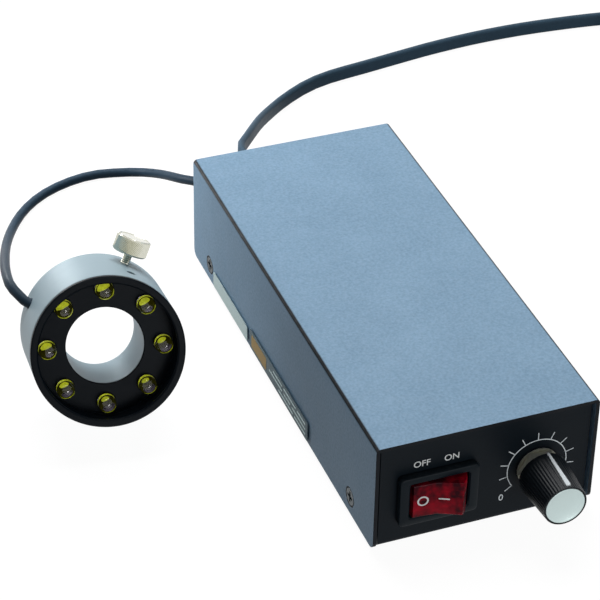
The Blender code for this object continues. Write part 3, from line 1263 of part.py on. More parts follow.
def make_head(box_frame):
    """Makes the whole head in its own frame, and returns that frame."""
    head_frame = frame("head_frame", box_frame, head_place(), head_rotation())
    clamp_axis = radial_frame("clamp_axis", head_frame, CLAMP_ANGLE, CLAMP_DEPTH)
    grub_axis = radial_frame("grub_axis", head_frame, CLAMP_ANGLE, GRUB_DEPTH)
    make_housing(head_frame, clamp_axis, grub_axis)
    make_holder(head_frame, grub_axis)
    make_leds(head_frame)
    make_clamp(clamp_axis)
    grub = rod(GRUB_RADIUS, -GRUB_SINK - GRUB_LENGTH, -GRUB_SINK)
    piece("grub_screw", grub, STEEL, grub_axis)
    return head_frame


# Whole part

CORD_PIECES = (
    "head_cord",
    "mains_cord",
    "mains_coil",
    "coil_tie",
    "mains_plug",
    "plug_pin_1",
    "plug_pin_2",
)


def stand_on_floor(box_frame):
    """Moves everything so that the box and the head stand on Z = 0, centred on the origin."""
    graph = bpy.context.evaluated_depsgraph_get()
    graph.update()
    corners = []
    for shown in bpy.context.scene.objects:
        if shown.type != "MESH" or shown.hide_render or shown.name in CORD_PIECES:
            continue
        seen = shown.evaluated_get(graph)
        corners += [seen.matrix_world @ vertex.co for vertex in seen.data.vertices]
    low = Vector([min(point[i] for point in corners) for i in range(3)])
    high = Vector([max(point[i] for point in corners) for i in range(3)])
    middle = (low + high) / 2
    box_frame.location = (-middle.x, -middle.y, -low.z)


def main():
    """Clears the scene and builds the part."""
    for old in list(bpy.data.objects):
        bpy.data.objects.remove(old, do_unlink=True)
    box_frame = frame("box_frame", None)
    make_cover(box_frame)
    make_base(box_frame)
    make_cover_screws(box_frame)
    make_feet(box_frame)
    make_label(box_frame)
    panel_frame = frame("panel_frame", box_frame, (0.0, PANEL_RECESS, 0.0), OUT_OF_FRONT)
    make_switch(panel_frame)
    dial_frame = frame("dial_frame", panel_frame, (DIAL_X, DIAL_Z, 0.0))
    make_knob(dial_frame, make_potentiometer(dial_frame))
    make_board(box_frame)
    board_frame = frame("board_frame", box_frame, (0.0, BOARD_MIDDLE_Y, BOARD_TOP))
    make_transformer(board_frame)
    make_board_parts(board_frame)
    make_exits(box_frame)
    head_frame = make_head(box_frame)
    make_head_cord(box_frame, head_frame)
    make_mains_cord(box_frame)
    stand_on_floor(box_frame)


main()
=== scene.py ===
"""Looks of a ring light for a bench microscope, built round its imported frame.

The control box, its switch, its dimmer, the lamp head and the cords are each a class. Sizes are in
metres. Places on the box are measured from the middle of its front edge, at its underside.
"""

import logging
import math
from collections.abc import Callable, Iterable, Sequence
from dataclasses import dataclass, field
from enum import Enum

import bmesh
import bpy
from mathutils import Euler, Matrix, Vector
from mathutils.kdtree import KDTree


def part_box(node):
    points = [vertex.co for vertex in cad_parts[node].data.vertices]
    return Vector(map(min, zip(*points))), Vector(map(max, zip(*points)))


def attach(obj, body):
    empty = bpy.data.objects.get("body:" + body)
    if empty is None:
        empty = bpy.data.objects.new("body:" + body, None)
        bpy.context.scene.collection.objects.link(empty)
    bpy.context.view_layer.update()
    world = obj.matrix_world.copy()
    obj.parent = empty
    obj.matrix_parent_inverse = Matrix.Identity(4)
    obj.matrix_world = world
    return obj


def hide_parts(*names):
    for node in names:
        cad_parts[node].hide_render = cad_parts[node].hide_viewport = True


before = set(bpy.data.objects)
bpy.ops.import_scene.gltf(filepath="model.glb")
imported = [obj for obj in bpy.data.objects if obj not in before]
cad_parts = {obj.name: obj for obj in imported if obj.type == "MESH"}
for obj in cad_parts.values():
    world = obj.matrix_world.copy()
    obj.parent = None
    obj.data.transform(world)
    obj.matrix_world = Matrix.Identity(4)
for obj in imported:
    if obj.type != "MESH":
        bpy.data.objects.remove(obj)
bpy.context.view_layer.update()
log = logging.getLogger("ring_light")

UPRIGHT = (0.0, 0.0, 0.0)
OUT_OF_FRONT = (math.radians(90.0), 0.0, 0.0)
OUT_OF_REAR = (math.radians(90.0), 0.0, math.radians(180.0))
OUT_OF_LEFT = (math.radians(90.0), 0.0, math.radians(-90.0))
OUT_OF_RIGHT = (math.radians(90.0), 0.0, math.radians(90.0))
SEAT_GAP = 0.0003
DRILL_REACH = 0.001
FACING = 0.9
Point = tuple[float, float, float]
Spot = tuple[float, float]
Rgb = tuple[int, int, int]


# Frame places


def middle_of(node: str) -> Vector:
    """Returns the middle of a CAD node's box."""
    low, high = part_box(node)
    return (low + high) / 2


def size_of(node: str) -> Vector:
    """Returns the size of a CAD node's box."""
    low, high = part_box(node)
    return high - low


def placed(place: Sequence[float], turn: Sequence[float] = UPRIGHT) -> Matrix:
    """Returns the matrix of a place and a turn."""
    return Matrix.LocRotScale(Vector(place), Euler(turn), None)


COVER_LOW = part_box("top_cover")[0]
BOX_SIZE = size_of("top_cover")
BOX = placed((middle_of("top_cover").x, COVER_LOW.y, COVER_LOW.z))
PANEL_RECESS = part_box("base_chassis")[0].y - COVER_LOW.y
PANEL = BOX @ placed((0.0, PANEL_RECESS, 0.0), OUT_OF_FRONT)


def on_panel(node: str) -> Matrix:
    """Returns a frame on the front panel's face, opposite the middle of a CAD node, with Z out of it."""
    middle = BOX.inverted() @ middle_of(node)
    return PANEL @ placed((middle.x, middle.z, 0.0))


# Modelling


class Part(Enum):
    """The kinds of mesh elements that can be picked."""

    VERT = "VERT"
    EDGE = "EDGE"
    FACE = "FACE"


Test = Callable[[Vector, Vector], bool]


class Workpiece:
    """A new mesh in edit mode, whose own space is the frame that it is modelled in."""

    def __init__(self, name: str) -> None:
        """Takes the primitive that was just added, puts its place in its mesh and opens it.

        Args:
            name: The piece's name.
        """
        self.piece = bpy.context.object
        self.piece.name = self.piece.data.name = name
        bpy.ops.object.transform_apply(location=True, rotation=True, scale=True)
        bpy.ops.object.mode_set(mode="EDIT")

    @classmethod
    def block(cls, name: str, low: Sequence[float], high: Sequence[float]) -> "Workpiece":
        """Starts from a block.

        Args:
            name: The piece's name.
            low: Its lowest corner.
            high: Its highest corner.

        Returns:
            The workpiece, with all of it selected.
        """
        bpy.ops.object.select_all(action="DESELECT")
        low, high = Vector(low), Vector(high)
        bpy.ops.mesh.primitive_cube_add(size=1.0, location=(low + high) / 2, scale=high - low)
        return cls(name)

    @classmethod
    def hoop(cls, name: str, radius: float, height: float, sides: int) -> "Workpiece":
        """Starts from an empty circle round Z, with all of it selected.

        Args:
            name: The piece's name.
            radius: The circle's radius.
            height: Where it is along Z.
            sides: How many edges it has.

        Returns:
            The workpiece, open for editing.
        """
        bpy.ops.object.select_all(action="DESELECT")
        bpy.ops.mesh.primitive_circle_add(vertices=sides, radius=radius, location=(0.0, 0.0, height))
        return cls(name)

    def pick(self, part: Part, test: Test) -> int:
        """Selects the elements that pass a test, and nothing else.

        Args:
            part: The kind of element.
            test: Takes an element's middle and its normal, or an edge's direction.

        Returns:
            How many elements are selected.
        """
        bpy.ops.mesh.select_all(action="DESELECT")
        bpy.ops.mesh.select_mode(type=part.value)
        mesh = bmesh.from_edit_mesh(self.piece.data)
        found = 0
        if part is Part.VERT:
            rows = [(v, v.co, v.normal) for v in mesh.verts]
        elif part is Part.EDGE:
            rows = [
                (e, (e.verts[0].co + e.verts[1].co) / 2, (e.verts[1].co - e.verts[0].co).normalized())
                for e in mesh.edges
            ]
        else:
            rows = [(f, f.calc_center_median(), f.normal) for f in mesh.faces]
        for element, middle, way in rows:
            if test(middle, way):
                element.select_set(True)
                found += 1
        mesh.select_flush_mode()
        bmesh.update_edit_mesh(self.piece.data)
        return found

    def extrude(self, move: Sequence[float]) -> None:
        """Pulls the selection out by a move."""
        bpy.ops.mesh.extrude_region_move(TRANSFORM_OT_translate={"value": tuple(move)})

    def scale(self, share: Sequence[float], about: Sequence[float]) -> None:
        """Scales the selection about a point."""
        bpy.ops.transform.resize(value=tuple(share), center_override=tuple(about))

    def place_ring(self, points: Sequence[Point], last: Sequence[Point] | None = None) -> None:
        """Moves the selected ring's vertices to the given points.

        Args:
            points: The ring's new points, in order.
            last: The points that the ring lies on now, in order, or None for a circle round Z.
        """
        mesh = bmesh.from_edit_mesh(self.piece.data)
        ring = [v for v in mesh.verts if v.select]
        if last is None:
            ring.sort(key=lambda v: math.atan2(v.co.y, v.co.x) % math.tau)
        else:
            tree = KDTree(len(last))
            for number, point in enumerate(last):
                tree.insert(point, number)
            tree.balance()
            ring.sort(key=lambda v: tree.find(v.co)[1])
        for vertex, point in zip(ring, points, strict=True):
            vertex.co = point
        bmesh.update_edit_mesh(self.piece.data)

    def round_edges(self, width: float, steps: int, test: Test) -> None:
        """Rounds the edges that pass a test.

        Args:
            width: How far the rounding reaches from the edge.
            steps: How many faces it has.
            test: Takes an edge's middle and its direction.
        """
        self.pick(Part.EDGE, test)
        bpy.ops.mesh.bevel(offset=width, segments=steps, affect="EDGES")

    def close_ends(self) -> None:
        """Fills the open ends."""
        bpy.ops.mesh.select_all(action="SELECT")
        bpy.ops.mesh.fill_holes(sides=0)

    def join_ends(self) -> None:
        """Joins the first and the last ring."""
        self.pick(Part.EDGE, lambda middle, way: False)
        mesh = bmesh.from_edit_mesh(self.piece.data)
        for edge in mesh.edges:
            edge.select_set(edge.is_boundary)
        bmesh.update_edit_mesh(self.piece.data)
        bpy.ops.mesh.bridge_edge_loops()

    def finish(self, at: Matrix | None = None, smooth_deg: float = 30.0) -> bpy.types.Object:
        """Closes the edit and puts the piece in place.

        Args:
            at: The frame that it was modelled in.
            smooth_deg: Faces that meet at less than this angle are shaded as one.

        Returns:
            The finished object, at the origin, with its place in its mesh.
        """
        bpy.ops.mesh.select_all(action="SELECT")
        bpy.ops.mesh.remove_doubles(threshold=1e-7)
        bpy.ops.mesh.normals_make_consistent(inside=False)
        bpy.ops.object.mode_set(mode="OBJECT")
        bpy.ops.object.shade_smooth_by_angle(angle=math.radians(smooth_deg))
        if at is not None:
            self.piece.matrix_world = at
            bpy.ops.object.transform_apply(location=True, rotation=True, scale=True)
        return self.piece


def turned(
    name: str,
    profile: Sequence[Spot],
    at: Matrix | None = None,
    sides: int = 64,
    closed: bool = False,
    smooth_deg: float = 30.0,
) -> bpy.types.Object:
    """Turns a profile round Z: a circle is pulled along it, ring by ring.

    Args:
        name: The piece's name.
        profile: Radius and height of each ring.
        at: The frame that it is turned in.
        sides: How many sides its rings have.
        closed: Whether the last ring joins the first, as in a tube.
        smooth_deg: Faces that meet at less than this angle are shaded as one.

    Returns:
        The finished object.
    """
    radius, height = profile[0]
    work = Workpiece.hoop(name, radius, height, sides)
    for wider, higher in profile[1:]:
        work.extrude((0.0, 0.0, higher - height))
        share = wider / radius
        work.scale((share, share, 1.0), (0.0, 0.0, higher))
        radius, height = wider, higher
    if closed:
        work.join_ends()
    else:
        work.close_ends()
    return work.finish(at, smooth_deg)


def stacked(
    name: str, rings: Sequence[Sequence[Point]], at: Matrix | None = None, closed: bool = False
) -> bpy.types.Object:
    """Pulls a circle through rings of points, which all start at +X and run anticlockwise.

    Args:
        name: The piece's name.
        rings: The rings, with the same number of points each.
        at: The frame that it is modelled in.
        closed: Whether the last ring joins the first.

    Returns:
        The finished object.
    """
    work = Workpiece.hoop(name, math.hypot(*rings[0][0][:2]), rings[0][0][2], len(rings[0]))
    work.place_ring(rings[0])
    for last, ring in zip(rings, rings[1:], strict=False):
        work.extrude((0.0, 0.0, 0.0))
        work.place_ring(ring, last)
    if closed:
        work.join_ends()
    else:
        work.close_ends()
    return work.finish(at)


def arc(middle: Spot, radius: float, angles_deg: Iterable[float]) -> list[Spot]:
    """Returns the points of an arc at the given angles.

    Args:
        middle: The arc's centre.
        radius: Its radius.
        angles_deg: Where its points are, anticlockwise from X.

    Returns:
        The points, in the order of the angles.
    """
    x, y = middle
    ways = [math.radians(angle) for angle in angles_deg]
    return [(x + radius * math.cos(way), y + radius * math.sin(way)) for way in ways]


def rounded_outline(width: float, height: float, corner: float, steps: int = 5) -> list[Spot]:
    """Returns a rounded rectangle's points, anticlockwise from the middle of its right side.

    Args:
        width: Its size along X.
        height: Its size along Y.
        corner: The radius of its corners.
        steps: How many edges each corner has.

    Returns:
        The points, without the first one again at the end.
    """
    points = [(width / 2, 0.0)]
    for quarter, (right, up) in enumerate(((1, 1), (-1, 1), (-1, -1), (1, -1))):
        x, y = right * (width / 2 - corner), up * (height / 2 - corner)
        for step in range(steps + 1):
            angle = math.radians(90.0) * (quarter + step / steps)
            points.append((x + corner * math.cos(angle), y + corner * math.sin(angle)))
    return points


def lifted(outline: Sequence[Spot], height: float) -> list[Point]:
    """Returns a flat outline's points at a height."""
    return [(x, y, height) for x, y in outline]


def change(target: bpy.types.Object, kind: str, **settings: object) -> None:
    """Adds a modifier and applies it.

    Args:
        target: The object.
        kind: The modifier's type.
        **settings: The modifier's own settings.
    """
    bpy.ops.object.select_all(action="DESELECT")
    bpy.context.view_layer.objects.active = target
    target.select_set(True)
    step = target.modifiers.new(kind.lower(), kind)
    for name, value in settings.items():
        setattr(step, name, value)
    bpy.ops.object.modifier_apply(modifier=step.name)


def cut(target: bpy.types.Object, *cutters: bpy.types.Object) -> None:
    """Cuts shapes out of a piece and deletes them."""
    for cutter in cutters:
        change(target, "BOOLEAN", operation="DIFFERENCE", solver="EXACT", object=cutter)
        bpy.data.objects.remove(cutter, do_unlink=True)
    bpy.ops.object.shade_smooth_by_angle(angle=math.radians(30.0))


def joined(first: bpy.types.Object, *others: bpy.types.Object) -> bpy.types.Object:
    """Joins loose shapes into one piece, which keeps all their materials.

    Args:
        first: The shape that the others join.
        others: The other shapes.

    Returns:
        The first shape.
    """
    bpy.ops.object.select_all(action="DESELECT")
    for shape in (first, *others):
        shape.select_set(True)
    bpy.context.view_layer.objects.active = first
    bpy.ops.object.join()
    return first


def copied(pattern: bpy.types.Object, name: str, at: Matrix) -> bpy.types.Object:
    """Returns a copy of a pattern with its own mesh, placed by a matrix.

    Args:
        pattern: The shape to copy.
        name: The copy's name.
        at: The frame that the copy's mesh is moved to.

    Returns:
        The copy.
    """
    mesh = pattern.data.copy()
    mesh.name = name
    mesh.transform(at)
    made = bpy.data.objects.new(name, mesh)
    bpy.context.scene.collection.objects.link(made)
    return made


def spread(pattern: bpy.types.Object, places: dict[str, Matrix]) -> list[bpy.types.Object]:
    """Copies a pattern to each named place and deletes the pattern.

    Args:
        pattern: The shape to copy.
        places: The frame of each copy by its name.

    Returns:
        The copies, in the order of the places.
    """
    made = [copied(pattern, name, at) for name, at in places.items()]
    bpy.data.objects.remove(pattern, do_unlink=True)
    return made


def lettering(
    name: str, text: str, height: float, at: Matrix, thickness: float = 0.00004
) -> bpy.types.Object:
    """Prints generic words or numbers as a thin raised mesh, centred in a frame.

    Args:
        name: The piece's name.
        text: The words.
        height: The height of a capital letter.
        at: The frame, with its Z out of the printed face.
        thickness: How proud the ink stands.

    Returns:
        The mesh object.
    """
    capital_share = 0.69
    bpy.ops.object.select_all(action="DESELECT")
    bpy.ops.object.text_add()
    made = bpy.context.object
    made.name = name
    made.data.body = text
    made.data.size = height / capital_share
    made.data.align_x = "CENTER"
    made.data.align_y = "CENTER"
    made.data.extrude = thickness / 2
    made.data.offset = height / 90
    bpy.ops.object.convert(target="MESH")
    made = bpy.context.object
    made.matrix_world = at @ Matrix.Translation((0.0, 0.0, thickness / 2))
    return Workpiece(name).finish()


def fitted(
    piece: bpy.types.Object,
    finish: bpy.types.Material | None,
    slot: str,
    *nodes: str,
    body: str = "base",
) -> bpy.types.Object:
    """Gives a piece its finish, hangs it on its body and hides the CAD nodes that it stands for.

    Args:
        piece: The piece, in place.
        finish: Its material, or None where it has its own already.
        slot: Not used.
        *nodes: The CAD nodes that it stands for.
        body: The body that it rides on.

    Returns:
        The same piece.
    """
    if finish is not None:
        piece.data.materials.clear()
        piece.data.materials.append(finish)
    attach(piece, body)
    if nodes:
        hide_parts(*nodes)
    log.info("%s rides on %s and takes the place of %s", piece.name, body, ", ".join(nodes) or "no node")
    return piece


def dressed(finish: bpy.types.Material, nodes: Iterable[str]) -> None:
    """Gives CAD nodes a finish."""
    for node in nodes:
        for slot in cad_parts[node].material_slots:
            slot.material = finish
        log.info("%s keeps its shape and gets %s", node, finish.name)


# Finishes


def tone(red: int, green: int, blue: int) -> tuple[float, float, float, float]:
    """Returns a colour that is written in 8-bit display values, as linear values with full alpha."""
    linear = [
        value / 12.92 if value <= 0.04045 else ((value + 0.055) / 1.055) ** 2.4
        for value in (red / 255, green / 255, blue / 255)
    ]
    return (*linear, 1.0)


class NodeBench:
    """Adds and links the nodes of one tree."""

    def __init__(self, tree: bpy.types.NodeTree) -> None:
        """Takes the tree to work on."""
        self.tree = tree

    def add(
        self, kind: str, inputs: dict[str | int, object] | None = None, **settings: object
    ) -> bpy.types.Node:
        """Adds one node.

        Args:
            kind: The node's class name.
            inputs: For each input, a value or the output socket to link.
            **settings: The node's own settings.

        Returns:
            The new node.
        """
        node = self.tree.nodes.new(kind)
        for name, value in settings.items():
            setattr(node, name, value)
        for name, value in (inputs or {}).items():
            if isinstance(value, bpy.types.NodeSocket):
                self.tree.links.new(value, node.inputs[name])
            else:
                node.inputs[name].default_value = value
        return node

    def maths(self, operation: str, first: object, second: object = 0.0) -> bpy.types.NodeSocket:
        """Returns the result of a sum on two values."""
        return self.add("ShaderNodeMath", {0: first, 1: second}, operation=operation).outputs[0]

    def remap(
        self, value: object, low: float, high: float, to_low: float = 0.0, to_high: float = 1.0
    ) -> bpy.types.NodeSocket:
        """Returns a value carried from one range into another, and held inside it."""
        inputs = {"Value": value, "From Min": low, "From Max": high, "To Min": to_low, "To Max": to_high}
        return self.add("ShaderNodeMapRange", inputs).outputs[0]

    def mix(self, factor: object, low: object, high: object) -> bpy.types.NodeSocket:
        """Returns a colour between two."""
        return self.add("ShaderNodeMix", {0: factor, 6: low, 7: high}, data_type="RGBA").outputs[2]

    def coordinates(self, kind: str = "Object") -> bpy.types.NodeSocket:
        """Returns one kind of texture coordinates."""
        return self.add("ShaderNodeTexCoord").outputs[kind]

    def noise(self, scale: object, detail: float = 2.0, vector: object | None = None) -> bpy.types.NodeSocket:
        """Returns noise in the object's own space.

        Args:
            scale: A number or a socket.
            detail: How many octaves it has.
            vector: Where it is read, or None for the object's own coordinates.

        Returns:
            The noise's value.
        """
        where = self.coordinates() if vector is None else vector
        inputs = {"Vector": where, "Scale": scale, "Detail": detail, "Roughness": 0.6}
        return self.add("ShaderNodeTexNoise", inputs).outputs[0]

    def bump(self, height: object, depth: float, strength: float = 1.0) -> bpy.types.NodeSocket:
        """Returns the normal of a surface with fine relief of a depth in metres."""
        inputs = {"Height": height, "Distance": depth, "Strength": strength}
        return self.add("ShaderNodeBump", inputs).outputs[0]


def effect_group(
    name: str, inputs: dict[str, float], outputs: Sequence[str]
) -> tuple[bpy.types.NodeTree, NodeBench, bpy.types.Node, bpy.types.Node]:
    """Starts a shared effect.

    Args:
        name: The group's name.
        inputs: Its inputs and their defaults.
        outputs: Its outputs, all of them values.

    Returns:
        The group's tree, its bench, its input node and its output node.
    """
    tree = bpy.data.node_groups.new(name, "ShaderNodeTree")
    for label, value in inputs.items():
        tree.interface.new_socket(label, in_out="INPUT", socket_type="NodeSocketFloat").default_value = value
    for label in outputs:
        tree.interface.new_socket(label, in_out="OUTPUT", socket_type="NodeSocketFloat")
    bench = NodeBench(tree)
    return tree, bench, bench.add("NodeGroupInput"), bench.add("NodeGroupOutput")


def make_grain() -> bpy.types.NodeTree:
    """Makes the speckle of a sprayed or moulded surface: Shade from 0 to 1, and Height.

    Returns:
        The node group.
    """
    defaults = {"Scale": 2400.0, "Contrast": 1.0}
    tree, bench, given, result = effect_group("fine_grain", defaults, ("Shade", "Height"))
    fine = bench.noise(given.outputs["Scale"], 3.0)
    broad = bench.noise(bench.maths("MULTIPLY", given.outputs["Scale"], 0.04), 2.0)
    speckle = bench.maths("SUBTRACT", fine, 0.5)
    drift = bench.maths("MULTIPLY", bench.maths("SUBTRACT", broad, 0.5), 0.35)
    total = bench.maths("MULTIPLY", bench.maths("ADD", speckle, drift), given.outputs["Contrast"])
    shade = bench.add("ShaderNodeClamp", {"Value": bench.maths("ADD", total, 0.5)}).outputs[0]
    tree.links.new(shade, result.inputs["Shade"])
    tree.links.new(fine, result.inputs["Height"])
    return tree


def make_scuffs() -> bpy.types.NodeTree:
    """Makes faint handling marks: a Mask that is 0 on clean surface.

    Returns:
        The node group.
    """
    defaults = {"Scale": 60.0, "Amount": 1.0}
    tree, bench, given, result = effect_group("handling_scuffs", defaults, ("Mask",))
    stretch = bench.add("ShaderNodeMapping", {"Vector": bench.coordinates(), "Scale": (1.0, 7.0, 3.0)})
    lines = bench.noise(given.outputs["Scale"], 4.0, stretch.outputs[0])
    patches = bench.noise(bench.maths("MULTIPLY", given.outputs["Scale"], 0.5), 1.0)
    marks = bench.maths("MULTIPLY", bench.remap(lines, 0.52, 0.72), bench.remap(patches, 0.4, 0.7))
    tree.links.new(bench.maths("MULTIPLY", marks, given.outputs["Amount"]), result.inputs["Mask"])
    return tree


def make_dust() -> bpy.types.NodeTree:
    """Makes fine dust on what faces up: a Mask that is 0 on clean surface.

    Returns:
        The node group.
    """
    tree, bench, given, result = effect_group("settled_dust", {"Amount": 0.1}, ("Mask",))
    way = bench.add("ShaderNodeSeparateXYZ", {0: bench.coordinates("Normal")}).outputs[2]
    specks = bench.remap(bench.noise(900.0, 3.0), 0.45, 0.75, 0.2, 1.0)
    mask = bench.maths("MULTIPLY", bench.remap(way, 0.3, 1.0), specks)
    tree.links.new(bench.maths("MULTIPLY", mask, given.outputs["Amount"]), result.inputs["Mask"])
    return tree


GRAIN = make_grain()
SCUFFS = make_scuffs()
DUST = make_dust()


class Recipe(NodeBench):
    """The nodes of one material: a Principled shader and what feeds it."""

    def __init__(self, name: str, **constants: object) -> None:
        """Starts a material.

        Args:
            name: The material's name.
            **constants: Values for the shader's own sockets, with _ for a space.
        """
        self.material = bpy.data.materials.new(name)
        self.material.use_nodes = True
        super().__init__(self.material.node_tree)
        self.shader = self.tree.nodes["Principled BSDF"]
        for label, value in constants.items():
            self.shader.inputs[label.replace("_", " ")].default_value = value

    def feed(self, label: str, source: bpy.types.NodeSocket) -> None:
        """Links a source to one of the shader's sockets."""
        self.tree.links.new(source, self.shader.inputs[label])

    def effect(self, tree: bpy.types.NodeTree, **values: float) -> bpy.types.Node:
        """Places a shared effect with its own values."""
        return self.add("ShaderNodeGroup", values, node_tree=tree)


class Surface(Enum):
    """How a metal surface was finished."""

    PLATED = "plated"
    BLASTED = "blasted"
    BRUSHED = "brushed"
    SPUN = "spun"


@dataclass(frozen=True)
class Paint:
    """Sprayed paint with a fine speckle, and painted shade that darkens the folds and cut edges of the sheet.
    """

    name: str
    light: Rgb
    dark: Rgb
    fold_shade: Rgb | None = None
    grain: float = 1400.0
    contrast: float = 1.3
    roughness: float = 0.45
    sheen_level: float = 0.3
    relief: float = 0.00002
    dust: float = 0.05

    def build(self) -> bpy.types.Material:
        """Returns the material."""
        recipe = Recipe(self.name, Specular_IOR_Level=self.sheen_level)
        speckle = recipe.effect(GRAIN, Scale=self.grain, Contrast=self.contrast)
        colour = recipe.mix(speckle.outputs["Shade"], tone(*self.dark), tone(*self.light))
        # Painted shade: where the normal is neither straight up nor straight sideways, on the bends and cut
        # edges, the colour turns to the fold shade colour.
        if self.fold_shade is not None:
            way = recipe.add("ShaderNodeSeparateXYZ", {0: recipe.coordinates("Normal")})
            flat = recipe.maths(
                "MAXIMUM",
                recipe.maths("ABSOLUTE", way.outputs[0]),
                recipe.maths("ABSOLUTE", way.outputs[2]),
            )
            colour = recipe.mix(recipe.remap(flat, 0.90, 0.995, 1.0, 0.0), colour, tone(*self.fold_shade))
        dust = recipe.effect(DUST, Amount=self.dust)
        recipe.feed("Base Color", recipe.mix(dust.outputs["Mask"], colour, tone(205, 208, 210)))
        scuffs = recipe.effect(SCUFFS, Scale=45.0, Amount=0.12)
        recipe.feed("Roughness", recipe.maths("ADD", scuffs.outputs["Mask"], self.roughness))
        recipe.feed("Normal", recipe.bump(speckle.outputs["Height"], self.relief))
        return recipe.material


@dataclass(frozen=True)
class Plastic:
    """Moulded plastic, rubber or cord jacket, with a fine mould texture and faint handling marks."""

    name: str
    colour: Rgb
    shade: Rgb
    roughness: float = 0.35
    gloss_level: float = 0.35
    grain: float = 1500.0
    relief: float = 0.00001
    scuffs: float = 0.15
    dust: float = 0.03

    def build(self) -> bpy.types.Material:
        """Returns the material."""
        recipe = Recipe(self.name, Specular_IOR_Level=self.gloss_level)
        texture = recipe.effect(GRAIN, Scale=self.grain, Contrast=0.8)
        colour = recipe.mix(texture.outputs["Shade"], tone(*self.shade), tone(*self.colour))
        dust = recipe.effect(DUST, Amount=self.dust)
        recipe.feed("Base Color", recipe.mix(dust.outputs["Mask"], colour, tone(150, 152, 155)))
        marks = recipe.effect(SCUFFS, Scale=160.0, Amount=self.scuffs)
        recipe.feed("Roughness", recipe.maths("ADD", marks.outputs["Mask"], self.roughness))
        recipe.feed("Normal", recipe.bump(texture.outputs["Height"], self.relief))
        return recipe.material


@dataclass(frozen=True)
class TintedPlastic:
    """Clear coloured plastic with painted shadows of what lies behind it."""

    name: str
    colour: Rgb
    shade: Rgb
    gloss_level: float = 0.05

    def build(self) -> bpy.types.Material:
        """Returns the material."""
        recipe = Recipe(self.name, Specular_IOR_Level=self.gloss_level)
        # Painted shadow: noise darkens the colour in patches towards the shade colour.
        depth = recipe.remap(recipe.noise(260.0, 2.0), 0.35, 0.65)
        recipe.feed("Base Color", recipe.mix(depth, tone(*self.shade), tone(*self.colour)))
        marks = recipe.effect(SCUFFS, Scale=300.0, Amount=0.12)
        recipe.feed("Roughness", recipe.maths("ADD", marks.outputs["Mask"], 0.14))
        return recipe.material


@dataclass(frozen=True)
class Metal:
    """Metal with the marks of how it was finished."""

    name: str
    colour: Rgb
    shade: Rgb
    surface: Surface = Surface.PLATED
    roughness: float = 0.25
    metallic: float = 1.0
    grain: float = 1800.0
    relief: float = 0.000006
    centre: Point = (0.0, 0.0, 0.0)
    turn: Point = UPRIGHT
    level: float = 0.5

    def relief_height(self, recipe: Recipe) -> bpy.types.NodeSocket:
        """Returns the height of the finish's own marks.

        Args:
            recipe: The material that is being built.

        Returns:
            The height, from 0 to 1.
        """
        away = tuple(-value for value in self.centre)
        moved = recipe.add("ShaderNodeMapping", {"Vector": recipe.coordinates(), "Location": away})
        turned_back = recipe.add(
            "ShaderNodeMapping",
            {"Vector": moved.outputs[0], "Rotation": self.turn},
        )
        where = turned_back.outputs[0]
        if self.surface is Surface.SPUN:
            axes = recipe.add("ShaderNodeSeparateXYZ", {0: where})
            across = recipe.maths("MULTIPLY", axes.outputs[0], axes.outputs[0])
            along = recipe.maths("MULTIPLY", axes.outputs[1], axes.outputs[1])
            radius = recipe.maths("SQRT", recipe.maths("ADD", across, along))
            line = recipe.add("ShaderNodeCombineXYZ", {0: radius})
            return recipe.noise(9000.0, 3.0, line.outputs[0])
        if self.surface is Surface.BRUSHED:
            fibres = recipe.add("ShaderNodeMapping", {"Vector": where, "Scale": (1.0, 0.03, 1.0)})
            return recipe.noise(self.grain, 3.0, fibres.outputs[0])
        return recipe.noise(self.grain, 3.0, where)

    def build(self) -> bpy.types.Material:
        """Returns the material."""
        recipe = Recipe(self.name, Metallic=self.metallic, Specular_IOR_Level=self.level)
        height = self.relief_height(recipe)
        recipe.feed("Base Color", recipe.mix(height, tone(*self.shade), tone(*self.colour)))
        marks = recipe.effect(SCUFFS, Scale=140.0, Amount=0.10)
        uneven = recipe.remap(height, 0.3, 0.7, self.roughness * 0.85, self.roughness * 1.15)
        recipe.feed("Roughness", recipe.maths("ADD", marks.outputs["Mask"], uneven))
        recipe.feed("Normal", recipe.bump(height, self.relief))
        return recipe.material


@dataclass(frozen=True)
class Resin:
    """Clear cast resin with faint flow lines."""

    name: str
    tint: Rgb

    def build(self) -> bpy.types.Material:
        """Returns the material."""
        recipe = Recipe(self.name, IOR=1.5, Transmission_Weight=1.0, Metallic=0.0)
        recipe.shader.inputs["Base Color"].default_value = tone(*self.tint)
        flow = recipe.noise(420.0, 2.0)
        recipe.feed("Roughness", recipe.remap(flow, 0.3, 0.7, 0.01, 0.05))
        recipe.feed("Normal", recipe.bump(flow, 0.00001))
        return recipe.material


@dataclass(frozen=True)
class Phosphor:
    """The powdery yellow converter over a lamp's chip, with a painted glow: it gives off its own colour
    though the lamp is not lit.
    """

    name: str
    colour: Rgb
    shade: Rgb
    painted_glow: float = 0.45

    def build(self) -> bpy.types.Material:
        """Returns the material."""
        # Painted light: the phosphor's colour is also its emission, which makes it brighter than the studio
        # lamps alone would.
        recipe = Recipe(self.name, Specular_IOR_Level=0.3, Emission_Strength=self.painted_glow)
        grains = recipe.noise(6000.0, 3.0)
        colour = recipe.mix(recipe.remap(grains, 0.3, 0.7), tone(*self.shade), tone(*self.colour))
        recipe.feed("Base Color", colour)
        recipe.feed("Emission Color", colour)
        recipe.feed("Roughness", recipe.remap(grains, 0.3, 0.7, 0.4, 0.6))
        recipe.feed("Normal", recipe.bump(grains, 0.00002))
        return recipe.material


